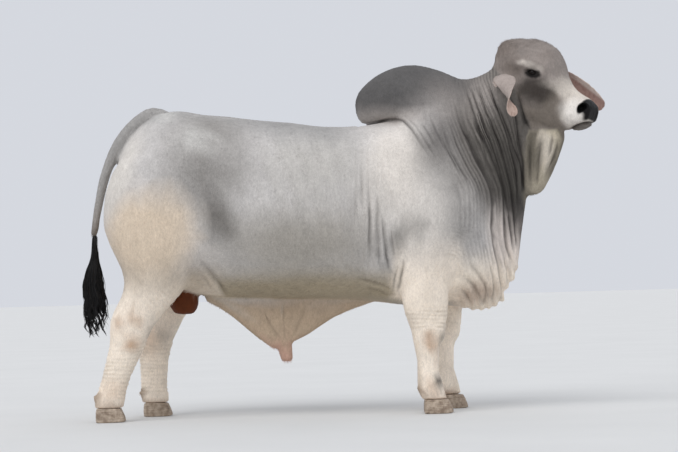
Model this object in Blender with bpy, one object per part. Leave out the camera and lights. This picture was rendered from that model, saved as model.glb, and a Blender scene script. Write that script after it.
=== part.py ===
"""A grey zebu bull standing as a still, life-size model.

Metres, +Z up. The bull faces +X and its right side faces -Y. The flesh is lofted from the
stations below, fused, smoothed and cut into named pieces 0.3 mm apart. The origin ends up on
the floor under the middle of the whole model.
"""

import math
import random

import bmesh
import bpy
import numpy as np
from mathutils import Matrix, Vector

# Joints between touching pieces.
GAP = 0.0003

# Resolution of the fused flesh and of the finished solids.
VOXEL = 0.006
HEAD_VOXEL = 0.0036
HEAD_TRIANGLES = 2050
BODY_TRIANGLES = 3800
RING = 44

# The head turns to the bull's right about this upright line.
HEAD_TURN = math.radians(28)
HEAD_PIVOT_X = 0.80

# Torso stations: x, top, height of the widest line, bottom, half width, roundness of the section.
TORSO = [
    (-1.085, 1.225, 1.04, 0.88, 0.09, 2.0),
    (-1.04, 1.315, 1.05, 0.80, 0.18, 2.1),
    (-0.95, 1.405, 1.06, 0.74, 0.26, 2.2),
    (-0.87, 1.445, 1.09, 0.66, 0.292, 2.3),
    (-0.78, 1.455, 1.10, 0.60, 0.308, 2.4),
    (-0.66, 1.435, 1.06, 0.575, 0.315, 2.4),
    (-0.54, 1.422, 1.02, 0.565, 0.322, 2.4),
    (-0.40, 1.400, 0.98, 0.560, 0.340, 2.3),
    (-0.26, 1.388, 0.95, 0.550, 0.358, 2.3),
    (-0.10, 1.362, 0.94, 0.545, 0.366, 2.3),
    (0.06, 1.360, 0.95, 0.535, 0.358, 2.3),
    (0.20, 1.372, 0.96, 0.515, 0.335, 2.3),
    (0.34, 1.37, 0.95, 0.500, 0.310, 2.3),
    (0.47, 1.34, 0.92, 0.500, 0.272, 2.2),
    (0.58, 1.24, 0.87, 0.475, 0.222, 2.1),
    (0.67, 1.10, 0.80, 0.478, 0.160, 2.0),
    (0.735, 0.95, 0.72, 0.520, 0.100, 2.0),
]

# Neck stations: centre x, z, lean of the section, half height, half width, turn in degrees.
# In front of its root the neck swings aside with its turn.
NECK_ROOT_X = 0.66
NECK_SWING = 0.35
NECK = [
    (0.36, 1.02, -0.30, 0.42, 0.285, 0),
    (0.47, 1.10, -0.36, 0.42, 0.250, 0),
    (0.57, 1.18, -0.42, 0.385, 0.214, 0),
    (0.65, 1.26, -0.42, 0.322, 0.184, 4),
    (0.72, 1.345, -0.34, 0.252, 0.162, 11),
    (0.785, 1.43, -0.24, 0.205, 0.145, 19),
    (0.85, 1.49, -0.16, 0.190, 0.128, 26),
]

# Hump stations: x, top, bottom, half width.
HUMP = [
    (0.046, 1.480, 1.455, 0.022),
    (0.054, 1.512, 1.405, 0.062),
    (0.078, 1.540, 1.380, 0.090),
    (0.125, 1.582, 1.368, 0.118),
    (0.19, 1.620, 1.362, 0.138),
    (0.27, 1.648, 1.34, 0.150),
    (0.36, 1.650, 1.28, 0.150),
    (0.46, 1.620, 1.22, 0.138),
    (0.55, 1.578, 1.20, 0.118),
    (0.62, 1.545, 1.22, 0.095),
]

# Throat flap: z, back x, back y, front x, front y, half thickness.
THROAT = [
    (1.345, 0.87, -0.03, 0.995, -0.10, 0.066),
    (1.285, 0.82, -0.015, 1.036, -0.118, 0.056),
    (1.22, 0.80, -0.010, 1.018, -0.105, 0.050),
    (1.15, 0.80, -0.008, 0.994, -0.085, 0.047),
    (1.08, 0.825, -0.008, 0.962, -0.062, 0.043),
    (1.035, 0.84, -0.010, 0.938, -0.045, 0.037),
    (1.010, 0.86, -0.015, 0.912, -0.035, 0.024),
]

# Dewlap curtain: z, back x, front x, half thickness.
DEWLAP = [
    (1.34, 0.70, 0.845, 0.108),
    (1.24, 0.66, 0.852, 0.124),
    (1.16, 0.62, 0.856, 0.130),
    (1.06, 0.60, 0.858, 0.126),
    (0.97, 0.58, 0.850, 0.116),
    (0.89, 0.56, 0.836, 0.102),
    (0.81, 0.56, 0.824, 0.088),
    (0.73, 0.60, 0.812, 0.072),
    (0.665, 0.58, 0.804, 0.062),
    (0.615, 0.57, 0.786, 0.055),
    (0.570, 0.56, 0.748, 0.050),
    (0.525, 0.56, 0.715, 0.050),
    (0.492, 0.57, 0.690, 0.040),
]

# The hanging skins are thicker at the back than at the front by this share of their middle.
CURTAIN_WEDGE = 0.42

# Hind leg, right: z, centre x, half length, centre y, half width.
HIND_RIGHT = [
    (1.30, -0.845, 0.135, 0.140, 0.120),
    (1.18, -0.885, 0.200, 0.155, 0.155),
    (1.04, -0.903, 0.232, 0.168, 0.165),
    (0.90, -0.903, 0.238, 0.180, 0.162),
    (0.78, -0.888, 0.206, 0.188, 0.148),
    (0.68, -0.888, 0.163, 0.192, 0.124),
    (0.60, -0.915, 0.140, 0.197, 0.101),
    (0.53, -0.965, 0.125, 0.200, 0.083),
    (0.475, -1.000, 0.113, 0.203, 0.070),
    (0.42, -1.022, 0.096, 0.205, 0.060),
    (0.36, -1.036, 0.084, 0.205, 0.053),
    (0.28, -1.066, 0.075, 0.205, 0.049),
    (0.20, -1.096, 0.066, 0.205, 0.047),
    (0.14, -1.114, 0.066, 0.205, 0.053),
    (0.10, -1.124, 0.069, 0.205, 0.056),
    (0.052, -1.134, 0.067, 0.205, 0.055),
]
# The left hind leg stands further forward: centre x and half length at the same heights.
HIND_LEFT_X = [
    (-0.845, 0.135), (-0.885, 0.200), (-0.895, 0.235), (-0.890, 0.238), (-0.872, 0.206),
    (-0.860, 0.168), (-0.868, 0.146), (-0.892, 0.127), (-0.910, 0.108), (-0.924, 0.095),
    (-0.942, 0.083), (-0.952, 0.073), (-0.955, 0.064), (-0.955, 0.063), (-0.952, 0.066),
    (-0.950, 0.064),
]

# Fore leg, right: z, centre x, half length, centre y, half width.
FORE_RIGHT = [
    (1.24, 0.27, 0.110, 0.135, 0.095),
    (1.10, 0.33, 0.165, 0.165, 0.135),
    (0.96, 0.365, 0.180, 0.185, 0.145),
    (0.83, 0.362, 0.160, 0.195, 0.133),
    (0.71, 0.350, 0.128, 0.200, 0.112),
    (0.61, 0.348, 0.114, 0.203, 0.092),
    (0.53, 0.351, 0.110, 0.205, 0.078),
    (0.46, 0.354, 0.098, 0.205, 0.068),
    (0.40, 0.361, 0.083, 0.205, 0.062),
    (0.35, 0.362, 0.074, 0.205, 0.060),
    (0.31, 0.353, 0.059, 0.205, 0.050),
    (0.25, 0.356, 0.051, 0.205, 0.044),
    (0.195, 0.355, 0.050, 0.205, 0.044),
    (0.15, 0.362, 0.057, 0.205, 0.052),
    (0.105, 0.368, 0.060, 0.205, 0.055),
    (0.056, 0.388, 0.062, 0.205, 0.054),
]
# The left fore leg stands this much further forward from the elbow down.
FORE_LEFT_AHEAD = 0.092
ELBOW_LOW, ELBOW_HIGH = 0.50, 0.78

# Sheath: x, bottom, top, half thickness.
SHEATH = [
    (-0.68, 0.548, 0.62, 0.030),
    (-0.60, 0.505, 0.62, 0.040),
    (-0.50, 0.420, 0.62, 0.042),
    (-0.42, 0.350, 0.62, 0.040),
    (-0.35, 0.312, 0.62, 0.038),
    (-0.27, 0.345, 0.62, 0.038),
    (-0.19, 0.382, 0.62, 0.040),
    (-0.10, 0.442, 0.62, 0.044),
    (0.00, 0.488, 0.62, 0.046),
    (0.10, 0.520, 0.62, 0.046),
    (0.18, 0.545, 0.62, 0.040),
]
# Mouth of the sheath: z, centre x, radius.
SHEATH_TIP = [
    (0.36, -0.318, 0.036), (0.32, -0.312, 0.034), (0.285, -0.306, 0.032),
    (0.262, -0.304, 0.030), (0.250, -0.304, 0.022),
]

# Tail: centre x, z, half thickness.
TAIL = [
    (-0.790, 1.385, 0.030),
    (-0.850, 1.420, 0.036),
    (-0.906, 1.437, 0.038),
    (-0.955, 1.420, 0.035),
    (-1.016, 1.378, 0.031),
    (-1.072, 1.313, 0.028),
    (-1.120, 1.223, 0.0245),
    (-1.152, 1.135, 0.021),
    (-1.175, 1.040, 0.0180),
    (-1.194, 0.945, 0.0165),
    (-1.205, 0.855, 0.0160),
    (-1.207, 0.780, 0.0165),
]

# Switch: the hair at the end of the tail. z, centre x, half thickness of its outline.
SWITCH = [
    (0.779, -1.207, 0.018),
    (0.72, -1.209, 0.030),
    (0.64, -1.211, 0.044),
    (0.57, -1.209, 0.055),
    (0.50, -1.208, 0.054),
    (0.44, -1.206, 0.044),
    (0.385, -1.204, 0.018),
]

# Switch core: z, centre x, radius. It ends half way from the root to the tips.
SWITCH_CORE = [
    (0.779, -1.207, 0.0165), (0.755, -1.208, 0.021), (0.71, -1.209, 0.026), (0.66, -1.210, 0.029),
    (0.62, -1.210, 0.026), (0.592, -1.209, 0.014),
]
SWITCH_FLAT = 0.85
LOCKS = 24
LOCK_SEED = 17
LOCK_STATIONS = 6
LOCK_HALF_WIDE = 0.0120
LOCK_HALF_THICK = 0.0042
LOCK_TURN = 2.39996
LOCK_SUNK = 0.45
ROOTS_HIGH, ROOTS_LOW = 0.765, 0.625
TIPS_HIGH, TIPS_LOW = 0.545, 0.388

# The crease under the hump, in side view: x and z, and the front edge of the hanging skin.
HUMP_CREASE = [(0.07, 1.366), (0.14, 1.368), (0.21, 1.370), (0.27, 1.350)]
SKIN_EDGE = [(1.03, 1.29), (0.96, 1.03), (0.86, 1.0), (0.80, 0.66), (0.71, 0.50), (0.50, 0.50)]
TRUNK_ROUNDS = 110

# Outlines of the cuts between the pieces, in side view: x and z. The head's is in its own frame.
HEAD_OUTLINE = [
    (-0.062, 1.90), (-0.060, 1.655), (-0.045, 1.53), (0.055, 1.375), (0.120, 1.318),
    (0.300, 1.294), (0.320, 1.25), (0.60, 1.25), (0.60, 1.90),
]
HUMP_OUTLINE = [
    (-0.10, 1.362), (0.13, 1.368), (0.22, 1.374), (0.30, 1.355), (0.42, 1.385), (0.53, 1.45),
    (0.60, 1.52), (0.62, 1.90), (-0.10, 1.90),
]
THROAT_OUTLINE = [
    (0.83, 1.42), (0.79, 1.24), (0.822, 1.12), (0.836, 0.992), (0.86, 0.94), (1.20, 0.94), (1.20, 1.42),
]
NECK_OUTLINE = [
    (0.50, 1.95), (0.505, 1.46), (0.535, 1.36), (0.572, 1.266), (0.616, 1.158), (0.665, 1.055),
    (1.20, 1.03), (1.20, 1.95),
]
DEWLAP_OUTLINE = [
    (0.60, 1.10), (0.655, 0.95), (0.66, 0.80), (0.64, 0.66), (0.585, 0.58), (0.56, 0.40),
    (1.20, 0.40), (1.20, 1.10),
]
HIND_OUTLINE = [
    (-1.30, 0.93), (-1.02, 0.86), (-0.84, 0.76), (-0.715, 0.655), (-0.60, 0.60), (-0.60, -0.1),
    (-1.30, -0.1),
]
HIND_INNER = 0.018
FORE_OUTLINE = [
    (0.222, -0.1), (0.222, 0.60), (0.27, 0.645), (0.38, 0.665), (0.50, 0.63), (0.545, 0.55), (0.545, -0.1),
]
FORE_INNER = 0.112
SHEATH_OUTLINE = [
    (-0.70, 0.20), (-0.70, 0.565), (-0.50, 0.572), (-0.10, 0.556), (0.17, 0.538), (0.22, 0.50), (0.22, 0.20),
]
SHEATH_HALF = 0.056
CUT_MARGIN = 0.02

# Scrotum: z, centre x, half length, half width.
SCROTUM = [
    (0.72, -0.80, 0.050, 0.055),
    (0.64, -0.795, 0.062, 0.070),
    (0.57, -0.790, 0.074, 0.088),
    (0.52, -0.785, 0.066, 0.080),
    (0.49, -0.782, 0.040, 0.050),
]

# Head stations in the head's own frame: top forward, top z, bottom forward, bottom z,
# half width, how far up the widest line lies, roundness above it and below it.
HEAD = [
    (-0.075, 1.640, -0.010, 1.380, 0.098, 0.50, 2.2, 2.2),
    (-0.042, 1.722, 0.040, 1.350, 0.114, 0.52, 2.5, 2.2),
    (0.006, 1.750, 0.085, 1.334, 0.122, 0.56, 2.6, 2.2),
    (0.095, 1.752, 0.125, 1.323, 0.124, 0.58, 2.5, 2.1),
    (0.168, 1.733, 0.160, 1.318, 0.122, 0.60, 2.5, 2.1),
    (0.228, 1.694, 0.190, 1.314, 0.119, 0.60, 2.5, 2.2),
    (0.259, 1.638, 0.222, 1.311, 0.106, 0.58, 2.4, 2.2),
    (0.280, 1.572, 0.250, 1.308, 0.089, 0.54, 2.3, 2.2),
    (0.310, 1.512, 0.280, 1.305, 0.079, 0.50, 2.3, 2.3),
    (0.344, 1.474, 0.308, 1.304, 0.077, 0.48, 2.5, 2.5),
    (0.382, 1.450, 0.338, 1.306, 0.080, 0.48, 2.8, 2.6),
    (0.406, 1.425, 0.368, 1.313, 0.077, 0.50, 2.9, 2.7),
    (0.420, 1.402, 0.398, 1.332, 0.062, 0.50, 2.7, 2.5),
]

# Forms pressed out of the head or into it, the same on both sides: a line through points of
# forward, side and z, how far the form spreads, and how far it rises.
HEAD_FORMS = [
    ([(0.090, 0.120, 1.616), (0.150, 0.118, 1.627), (0.215, 0.102, 1.602)], 0.022, 0.013),
    ([(0.110, 0.122, 1.440), (0.130, 0.110, 1.385)], 0.062, 0.014),
    ([(0.215, 0.104, 1.520), (0.290, 0.084, 1.446)], 0.024, 0.007),
    ([(0.262, 0.088, 1.560), (0.318, 0.062, 1.500)], 0.026, -0.006),
    ([(0.235, 0.080, 1.370), (0.275, 0.070, 1.370)], 0.036, -0.007),
    ([(0.040, 0.124, 1.600), (0.075, 0.124, 1.560)], 0.028, -0.007),
    ([(0.005, 0.080, 1.722)], 0.034, 0.012),
    ([(0.372, 0.070, 1.412), (0.385, 0.064, 1.398)], 0.024, 0.009),
    ([(0.330, 0.066, 1.365), (0.375, 0.056, 1.362)], 0.026, 0.007),
    ([(0.330, 0.030, 1.312), (0.365, 0.020, 1.322)], 0.026, 0.005),
]
# The same for the trunk and the upper legs: x, side and z.
BODY_FORMS = [
    ([(-0.62, 0.20, 1.350)], 0.075, 0.016),
    ([(-0.44, 0.28, 1.230), (-0.50, 0.31, 1.10)], 0.085, -0.014),
    ([(-0.70, 0.32, 0.960), (-0.665, 0.30, 0.74)], 0.050, 0.014),
    ([(-0.99, 0.26, 1.02), (-1.00, 0.24, 0.80)], 0.034, -0.007),
    ([(-0.95, 0.16, 1.36)], 0.060, -0.012),
    ([(0.40, 0.30, 0.96), (0.37, 0.31, 0.86)], 0.110, 0.018),
    ([(0.53, 0.22, 0.90)], 0.060, 0.012),
    ([(0.27, 0.23, 1.285), (0.40, 0.29, 1.05)], 0.050, 0.010),
    ([(0.14, 0.34, 1.06), (0.12, 0.33, 0.72)], 0.050, -0.010),
    ([(0.225, 0.28, 0.67)], 0.040, 0.012),
    ([(0.51, 0.25, 1.20), (0.56, 0.22, 1.03)], 0.050, -0.012),
    ([(-0.90, 0.27, 0.62), (-0.86, 0.25, 0.52)], 0.030, 0.006),
]

# Eyes: where the ball sits in the head's own frame, its radius, and the opening of the lids.
EYE = (0.152, 0.0965, 1.576)
EYE_RADIUS = 0.0235
LID_THICK = 0.0070
LID_HALF_LONG = 0.0255
LID_HALF_HIGH = 0.0138

# Nostrils: where each opens in the head's own frame, and the radii of its hollow.
NOSTRIL = (0.382, 0.075, 1.400)
NOSTRIL_RADII = (0.030, 0.021, 0.023)

# Mouth line, in the head's own frame: forward and z, from the front to the corner.
MOUTH = [(0.440, 1.348), (0.400, 1.335), (0.370, 1.327), (0.340, 1.318), (0.305, 1.307), (0.290, 1.303)]
MOUTH_DEEP = 0.008
MOUTH_WIDE = 0.0115

# Nose pad: middle and radii of the ellipsoid that takes the bare black skin out of the head.
NOSE_PAD = (0.440, 0.0, 1.398)
NOSE_PAD_RADII = (0.121, 0.106, 0.052)

# Ears: x, y, z of the middle of the back, half width, how far the cup rolls in, depth of the
# cup, and the way its open side faces.
EAR_RIGHT = [
    (0.735, -0.060, 1.563, 0.022, 2.1, 0.030, (0.50, 0.00, -0.85)),
    (0.733, -0.135, 1.568, 0.034, 1.8, 0.028, (0.45, 0.00, -0.85)),
    (0.737, -0.200, 1.562, 0.046, 1.2, 0.020, (0.25, 0.20, -0.92)),
    (0.745, -0.252, 1.548, 0.053, 0.9, 0.014, (0.15, 0.60, -0.75)),
    (0.751, -0.290, 1.518, 0.046, 0.9, 0.013, (0.35, 0.88, -0.40)),
    (0.753, -0.318, 1.482, 0.034, 1.1, 0.014, (0.75, 0.62, -0.15)),
    (0.754, -0.340, 1.448, 0.027, 1.3, 0.015, (0.98, 0.05, 0.00)),
    (0.758, -0.360, 1.416, 0.031, 1.2, 0.015, (0.75, -0.65, 0.00)),
    (0.763, -0.376, 1.386, 0.034, 1.1, 0.013, (0.45, -0.88, 0.00)),
    (0.766, -0.387, 1.364, 0.029, 1.0, 0.010, (0.38, -0.92, 0.00)),
    (0.767, -0.391, 1.353, 0.021, 0.9, 0.007, (0.38, -0.92, 0.00)),
    (0.767, -0.393, 1.346, 0.009, 0.9, 0.004, (0.38, -0.92, 0.00)),
]
EAR_LEFT = [
    (0.830, 0.060, 1.592, 0.022, 2.1, 0.030, (0.30, -0.70, -0.60)),
    (0.888, 0.138, 1.612, 0.036, 2.0, 0.036, (0.30, -0.70, -0.60)),
    (0.960, 0.182, 1.608, 0.052, 1.7, 0.036, (0.15, -0.85, -0.50)),
    (1.040, 0.210, 1.582, 0.060, 1.4, 0.030, (0.05, -0.95, -0.35)),
    (1.115, 0.222, 1.543, 0.060, 1.3, 0.026, (0.00, -0.97, -0.25)),
    (1.178, 0.226, 1.500, 0.054, 1.2, 0.022, (0.00, -0.98, -0.20)),
    (1.225, 0.224, 1.463, 0.044, 1.1, 0.016, (0.00, -0.98, -0.15)),
    (1.255, 0.220, 1.436, 0.030, 1.0, 0.010, (0.00, -0.98, -0.10)),
    (1.266, 0.218, 1.425, 0.014, 0.9, 0.005, (0.00, -0.98, -0.10)),
]
EAR_THICK = 0.0100
EAR_GAP = 0.0010
EAR_POINTS = 7
EAR_ROOT_THICKER, EAR_TIP_THINNER, EAR_RIM_THINNER = 1.25, 0.4, 0.22

# Claws: height, and for each station its height share, reach back, reach forward, half width.
CLAW_HIGH = 0.066
CLAW = [
    (0.00, 0.055, 0.082, 0.0262),
    (0.16, 0.059, 0.083, 0.0276),
    (0.55, 0.059, 0.074, 0.0274),
    (0.88, 0.057, 0.064, 0.0264),
    (1.00, 0.053, 0.059, 0.0245),
]
CLAW_APART = 0.0286
CLAW_POINTS = 12
CLAW_TOE_IN = math.radians(3)

# Dewclaws: radii, and how they sit behind the fetlock.
DEWCLAW_RADII = (0.018, 0.015, 0.022)
DEWCLAW_SUNK, DEWCLAW_APART, DEWCLAW_UP = 0.007, 0.026, 0.014

GREY = (0.36, 0.35, 0.34)
DARK_GREY = (0.16, 0.155, 0.15)
CREAM = (0.62, 0.56, 0.50)
PINK = (0.60, 0.45, 0.40)
RED_BROWN = (0.30, 0.13, 0.09)
BLACK = (0.015, 0.014, 0.015)
HORN = (0.36, 0.29, 0.23)


def material(name, colour, roughness=0.8):
    made = bpy.data.materials.get(name)
    if made is None:
        made = bpy.data.materials.new(name)
        made.use_nodes = True
        shader = made.node_tree.nodes["Principled BSDF"]
        shader.inputs["Base Color"].default_value = (*colour, 1.0)
        shader.inputs["Roughness"].default_value = roughness
        shader.inputs["Metallic"].default_value = 0.0
    return made


def eased(rows, steps):
    """The rows with a smooth curve through them, steps to a span."""
    rows = np.array(rows, float)
    padded = np.vstack([2 * rows[0] - rows[1], rows, 2 * rows[-1] - rows[-2]])
    made = []
    for i in range(len(rows) - 1):
        a, b, c, d = padded[i : i + 4]
        for k in range(steps):
            t = k / steps
            made.append(
                0.5 * (2 * b + (c - a) * t + (2 * a - 5 * b + 4 * c - d) * t**2
                       + (3 * b - a - 3 * c + d) * t**3)
            )
    made.append(rows[-1])
    return made


def ring(centre, up, side, high, low, wide, power=2.0, power_low=None, count=RING, wedge=0.0):
    """Points of a rounded section: high above and low below its widest line."""
    centre, up, side = np.array(centre), np.array(up), np.array(side)
    power_low = power_low or power
    points = []
    for k in range(count):
        turn = 2 * math.pi * k / count
        c, s = math.cos(turn), math.sin(turn)
        n = power if s >= 0 else power_low
        across = math.copysign(abs(c) ** (2 / n), c) * wide
        along = math.copysign(abs(s) ** (2 / n), s) * (high if s >= 0 else low)
        across *= 1 - wedge * along / high
        points.append(centre + side * across + up * along)
    return points


def loft(name, rings, cupped=False):
    """A closed body through rings of equal count. An end is closed by a middle point or, on a
    cupped section, by a strip between its two sides, which are split into like triangles."""
    bm = bmesh.new()
    loops = [[bm.verts.new(Vector(p)) for p in points] for points in rings]
    count = len(loops[0])
    for a, b in zip(loops, loops[1:]):
        for k in range(count):
            j = (k + 1) % count
            if not cupped:
                bm.faces.new((a[k], a[j], b[j], b[k]))
            elif k < count // 2:
                bm.faces.new((a[k], a[j], b[j]))
                bm.faces.new((a[k], b[j], b[k]))
            else:
                bm.faces.new((a[k], a[j], b[k]))
                bm.faces.new((a[j], b[j], b[k]))
    for loop, flip in ((loops[0], True), (loops[-1], False)):
        if cupped:
            for k in range(count // 2 - 1):
                strip = (loop[k], loop[k + 1], loop[count - 2 - k], loop[count - 1 - k])
                bm.faces.new(strip[::-1] if flip else strip)
            continue
        middle = bm.verts.new(sum((v.co for v in loop), Vector()) / count)
        for k in range(count):
            j = (k + 1) % count
            bm.faces.new((loop[j], loop[k], middle) if flip else (loop[k], loop[j], middle))
    bmesh.ops.recalc_face_normals(bm, faces=bm.faces)
    return body_of(name, bm)


def body_of(name, bm):
    mesh = bpy.data.meshes.new(name)
    bm.to_mesh(mesh)
    bm.free()
    made = bpy.data.objects.new(name, mesh)
    bpy.context.scene.collection.objects.link(made)
    return made


def ball(name, centre, radii, level=3, turn=None):
    bm = bmesh.new()
    bmesh.ops.create_icosphere(bm, subdivisions=level, radius=1.0)
    frame = Matrix.Diagonal((*radii, 1.0))
    if turn is not None:
        frame = turn.to_4x4() @ frame
    bmesh.ops.transform(bm, matrix=Matrix.Translation(centre) @ frame, verts=bm.verts)
    return body_of(name, bm)


def head_point(forward, side, z):
    """A point of the head's own frame, after the head's turn. Side is positive to the left."""
    c, s = math.cos(HEAD_TURN), math.sin(HEAD_TURN)
    return Vector((HEAD_PIVOT_X + forward * c + side * s, -forward * s + side * c, z))


def head_way(forward, side, up):
    return head_point(forward, side, up) - head_point(0, 0, 0)


def head_ball(name, place, radii, sign=1, level=3):
    forward, side, z = place
    turn = Matrix.Rotation(-HEAD_TURN, 3, "Z")
    return ball(name, head_point(forward, side * sign, z), radii, level, turn)


def torso():
    return loft("torso", [
        ring((x, 0, wide_z), (0, 0, 1), (0, 1, 0), top - wide_z, wide_z - low, half, n)
        for x, top, wide_z, low, half, n in eased(TORSO, 3)
    ])


def neck():
    rings = []
    for x, z, lean, high, wide, turn in eased(NECK, 3):
        turn = math.radians(turn)
        forward = np.array((math.cos(turn), -math.sin(turn), 0.0))
        side = np.array((math.sin(turn), math.cos(turn), 0.0))
        up = np.array((0, 0, 1.0)) + lean * forward
        up /= np.linalg.norm(up)
        aside = -NECK_SWING * max(x - NECK_ROOT_X, 0) * math.sin(turn)
        rings.append(ring((x, aside, z), up, side, high, high, wide, 2.1))
    return loft("neck", rings)


def hump():
    return loft("hump", [
        ring((x, 0, 0.5 * (top + low)), (0, 0, 1), (0, 1, 0), 0.5 * (top - low),
             0.5 * (top - low), half, 2.0)
        for x, top, low, half in eased(HUMP, 3)
    ])


def throat():
    rings = []
    for z, x0, y0, x1, y1, half in eased(THROAT, 3):
        along = np.array((x1 - x0, y1 - y0, 0.0))
        length = np.linalg.norm(along)
        along /= length
        side = np.array((-along[1], along[0], 0.0))
        rings.append(ring((0.5 * (x0 + x1), 0.5 * (y0 + y1), z), along, side,
                          0.5 * length, 0.5 * length, half, 2.3, wedge=CURTAIN_WEDGE))
    return loft("throat", rings)


def dewlap():
    return loft("dewlap", [
        ring((0.5 * (x0 + x1), 0, z), (1, 0, 0), (0, 1, 0), 0.5 * (x1 - x0),
             0.5 * (x1 - x0), half, 2.4, wedge=CURTAIN_WEDGE)
        for z, x0, x1, half in eased(DEWLAP, 3)
    ])


def leg(name, rows, sign):
    return loft(name, [
        ring((x, sign * y, z), (1, 0, 0), (0, 1, 0), long, long, wide, 2.15)
        for z, x, long, y, wide in eased(rows, 3)
    ])


def left_hind_rows():
    return [(z, x, long, y, wide)
            for (z, _, _, y, wide), (x, long) in zip(HIND_RIGHT, HIND_LEFT_X)]


def left_fore_rows():
    rows = []
    for z, x, long, y, wide in FORE_RIGHT:
        share = min(max((ELBOW_HIGH - z) / (ELBOW_HIGH - ELBOW_LOW), 0.0), 1.0)
        rows.append((z, x + FORE_LEFT_AHEAD * share, long, y, wide))
    return rows


def sheath():
    flap = loft("sheath_flap", [
        ring((x, 0, 0.5 * (top + low)), (0, 0, 1), (0, 1, 0), 0.5 * (top - low),
             0.5 * (top - low), half, 2.3)
        for x, low, top, half in eased(SHEATH, 3)
    ])
    tip = loft("sheath_tip", [
        ring((x, 0, z), (1, 0, 0), (0, 1, 0), radius, radius, 0.9 * radius)
        for z, x, radius in eased(SHEATH_TIP, 2)
    ])
    return [flap, tip]


def head():
    rings = []
    for fa, za, fb, zb, wide, rise, n, n_low in eased(HEAD, 3):
        top, low = head_point(fa, 0, za), head_point(fb, 0, zb)
        centre = low.lerp(top, rise)
        up = (top - low).normalized()
        rings.append(ring(centre, up, head_way(0, 1, 0), (top - centre).length,
                          (centre - low).length, wide, n, n_low))
    return loft("head", rings)


def lids():
    return [head_ball("lid", EYE, [EYE_RADIUS + LID_THICK] * 3, sign) for sign in (-1, 1)]


def tube(name, rows, grow=0.0, count=12):
    """A tube through rows of x, z and half thickness, in the middle plane."""
    path = [Vector((x, 0, z)) for x, z, _ in rows]
    rings = []
    for i, (x, z, half) in enumerate(rows):
        way = (path[min(i + 1, len(path) - 1)] - path[max(i - 1, 0)]).normalized()
        up = way.cross(Vector((0, 1, 0))).normalized()
        rings.append(ring((x, 0, z), up, (0, 1, 0), half + grow, half + grow, half + grow,
                          count=count))
    return loft(name, rings)


def evaluated(obj):
    """The object with its modifiers made part of its mesh."""
    graph = bpy.context.evaluated_depsgraph_get()
    mesh = bpy.data.meshes.new_from_object(obj.evaluated_get(graph))
    obj.modifiers.clear()
    old, obj.data = obj.data, mesh
    bpy.data.meshes.remove(old)
    return obj


def joined(name, pieces):
    bm = bmesh.new()
    for piece in pieces:
        piece.data.transform(piece.matrix_world)
        bm.from_mesh(piece.data)
    for piece in pieces:
        bpy.data.objects.remove(piece)
    return body_of(name, bm)


def fused(name, pieces, voxel, rounds):
    """One skin over overlapping bodies, its creases eased."""
    whole = joined(name, pieces)
    remesh = whole.modifiers.new("fuse", "REMESH")
    remesh.mode = "VOXEL"
    remesh.voxel_size = voxel
    remesh.adaptivity = 0.0
    smooth = whole.modifiers.new("ease", "SMOOTH")
    smooth.factor = 0.5
    smooth.iterations = rounds
    return evaluated(whole)


def points_of(obj):
    flat = np.empty(len(obj.data.vertices) * 3, np.float32)
    obj.data.vertices.foreach_get("co", flat)
    return flat.reshape(-1, 3).astype(float)


def normals_of(obj):
    flat = np.empty(len(obj.data.vertices) * 3, np.float32)
    obj.data.vertices.foreach_get("normal", flat)
    return flat.reshape(-1, 3).astype(float)


def set_points(obj, points):
    obj.data.vertices.foreach_set("co", points.astype(np.float32).ravel())
    obj.data.update()


def distance_to_line(points, line):
    """Each point's distance to a broken line."""
    best = np.full(len(points), 1e9)
    for a, b in zip(line, line[1:]):
        a, b = np.array(a), np.array(b)
        t = np.clip((points - a) @ (b - a) / ((b - a) @ (b - a)), 0, 1)
        best = np.minimum(best, np.linalg.norm(points - (a + t[:, None] * (b - a)), axis=1))
    return best


def head_frame(points):
    """The points in the head's own frame: forward, side and z."""
    c, s = math.cos(HEAD_TURN), math.sin(HEAD_TURN)
    x, y, z = points.T
    x = x - HEAD_PIVOT_X
    return np.stack([x * c - y * s, x * s + y * c, z], axis=1)


def pressed(obj, forms, placed):
    """Moves the surface out or in along the lines of the forms, on both sides alike."""
    points = points_of(obj)
    framed = placed(points)
    framed[:, 1] = np.abs(framed[:, 1])
    rise = np.zeros(len(points))
    for line, spread, amount in forms:
        line = line if len(line) > 1 else [line[0], np.array(line[0]) + 1e-4]
        rise += amount * np.exp(-((distance_to_line(framed, line) / spread) ** 2))
    set_points(obj, points + normals_of(obj) * rise[:, None])


def carve_mouth(obj):
    """Presses the line between the lips into the muzzle, on both sides and round the front."""
    points = points_of(obj)
    forward, _, z = head_frame(points).T
    near = distance_to_line(np.stack([forward, z], axis=1), MOUTH)
    depth = MOUTH_DEEP * np.exp(-((near / (0.5 * MOUTH_WIDE)) ** 2))
    depth[forward < MOUTH[-1][0] - 0.01] = 0
    set_points(obj, points - normals_of(obj) * depth[:, None])


def thinned(obj, triangles):
    bm = bmesh.new()
    bm.from_mesh(obj.data)
    bmesh.ops.triangulate(bm, faces=bm.faces)
    count = len(bm.faces)
    bm.to_mesh(obj.data)
    bm.free()
    fewer = obj.modifiers.new("thin", "DECIMATE")
    fewer.ratio = triangles / count
    return evaluated(obj)


def slab(name, point, way, reach=1.2, thick=2.0):
    """A big box whose one face lies at the point, square to the way, with the rest beyond it."""
    way = Vector(way).normalized()
    bm = bmesh.new()
    bmesh.ops.create_cube(bm, size=1.0)
    bmesh.ops.scale(bm, vec=(reach, reach, thick), verts=bm.verts)
    bmesh.ops.translate(bm, vec=(0, 0, 0.5 * thick), verts=bm.verts)
    frame = way.to_track_quat("Z", "Y").to_matrix().to_4x4()
    bmesh.ops.transform(bm, matrix=Matrix.Translation(point) @ frame, verts=bm.verts)
    return body_of(name, bm)


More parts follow.
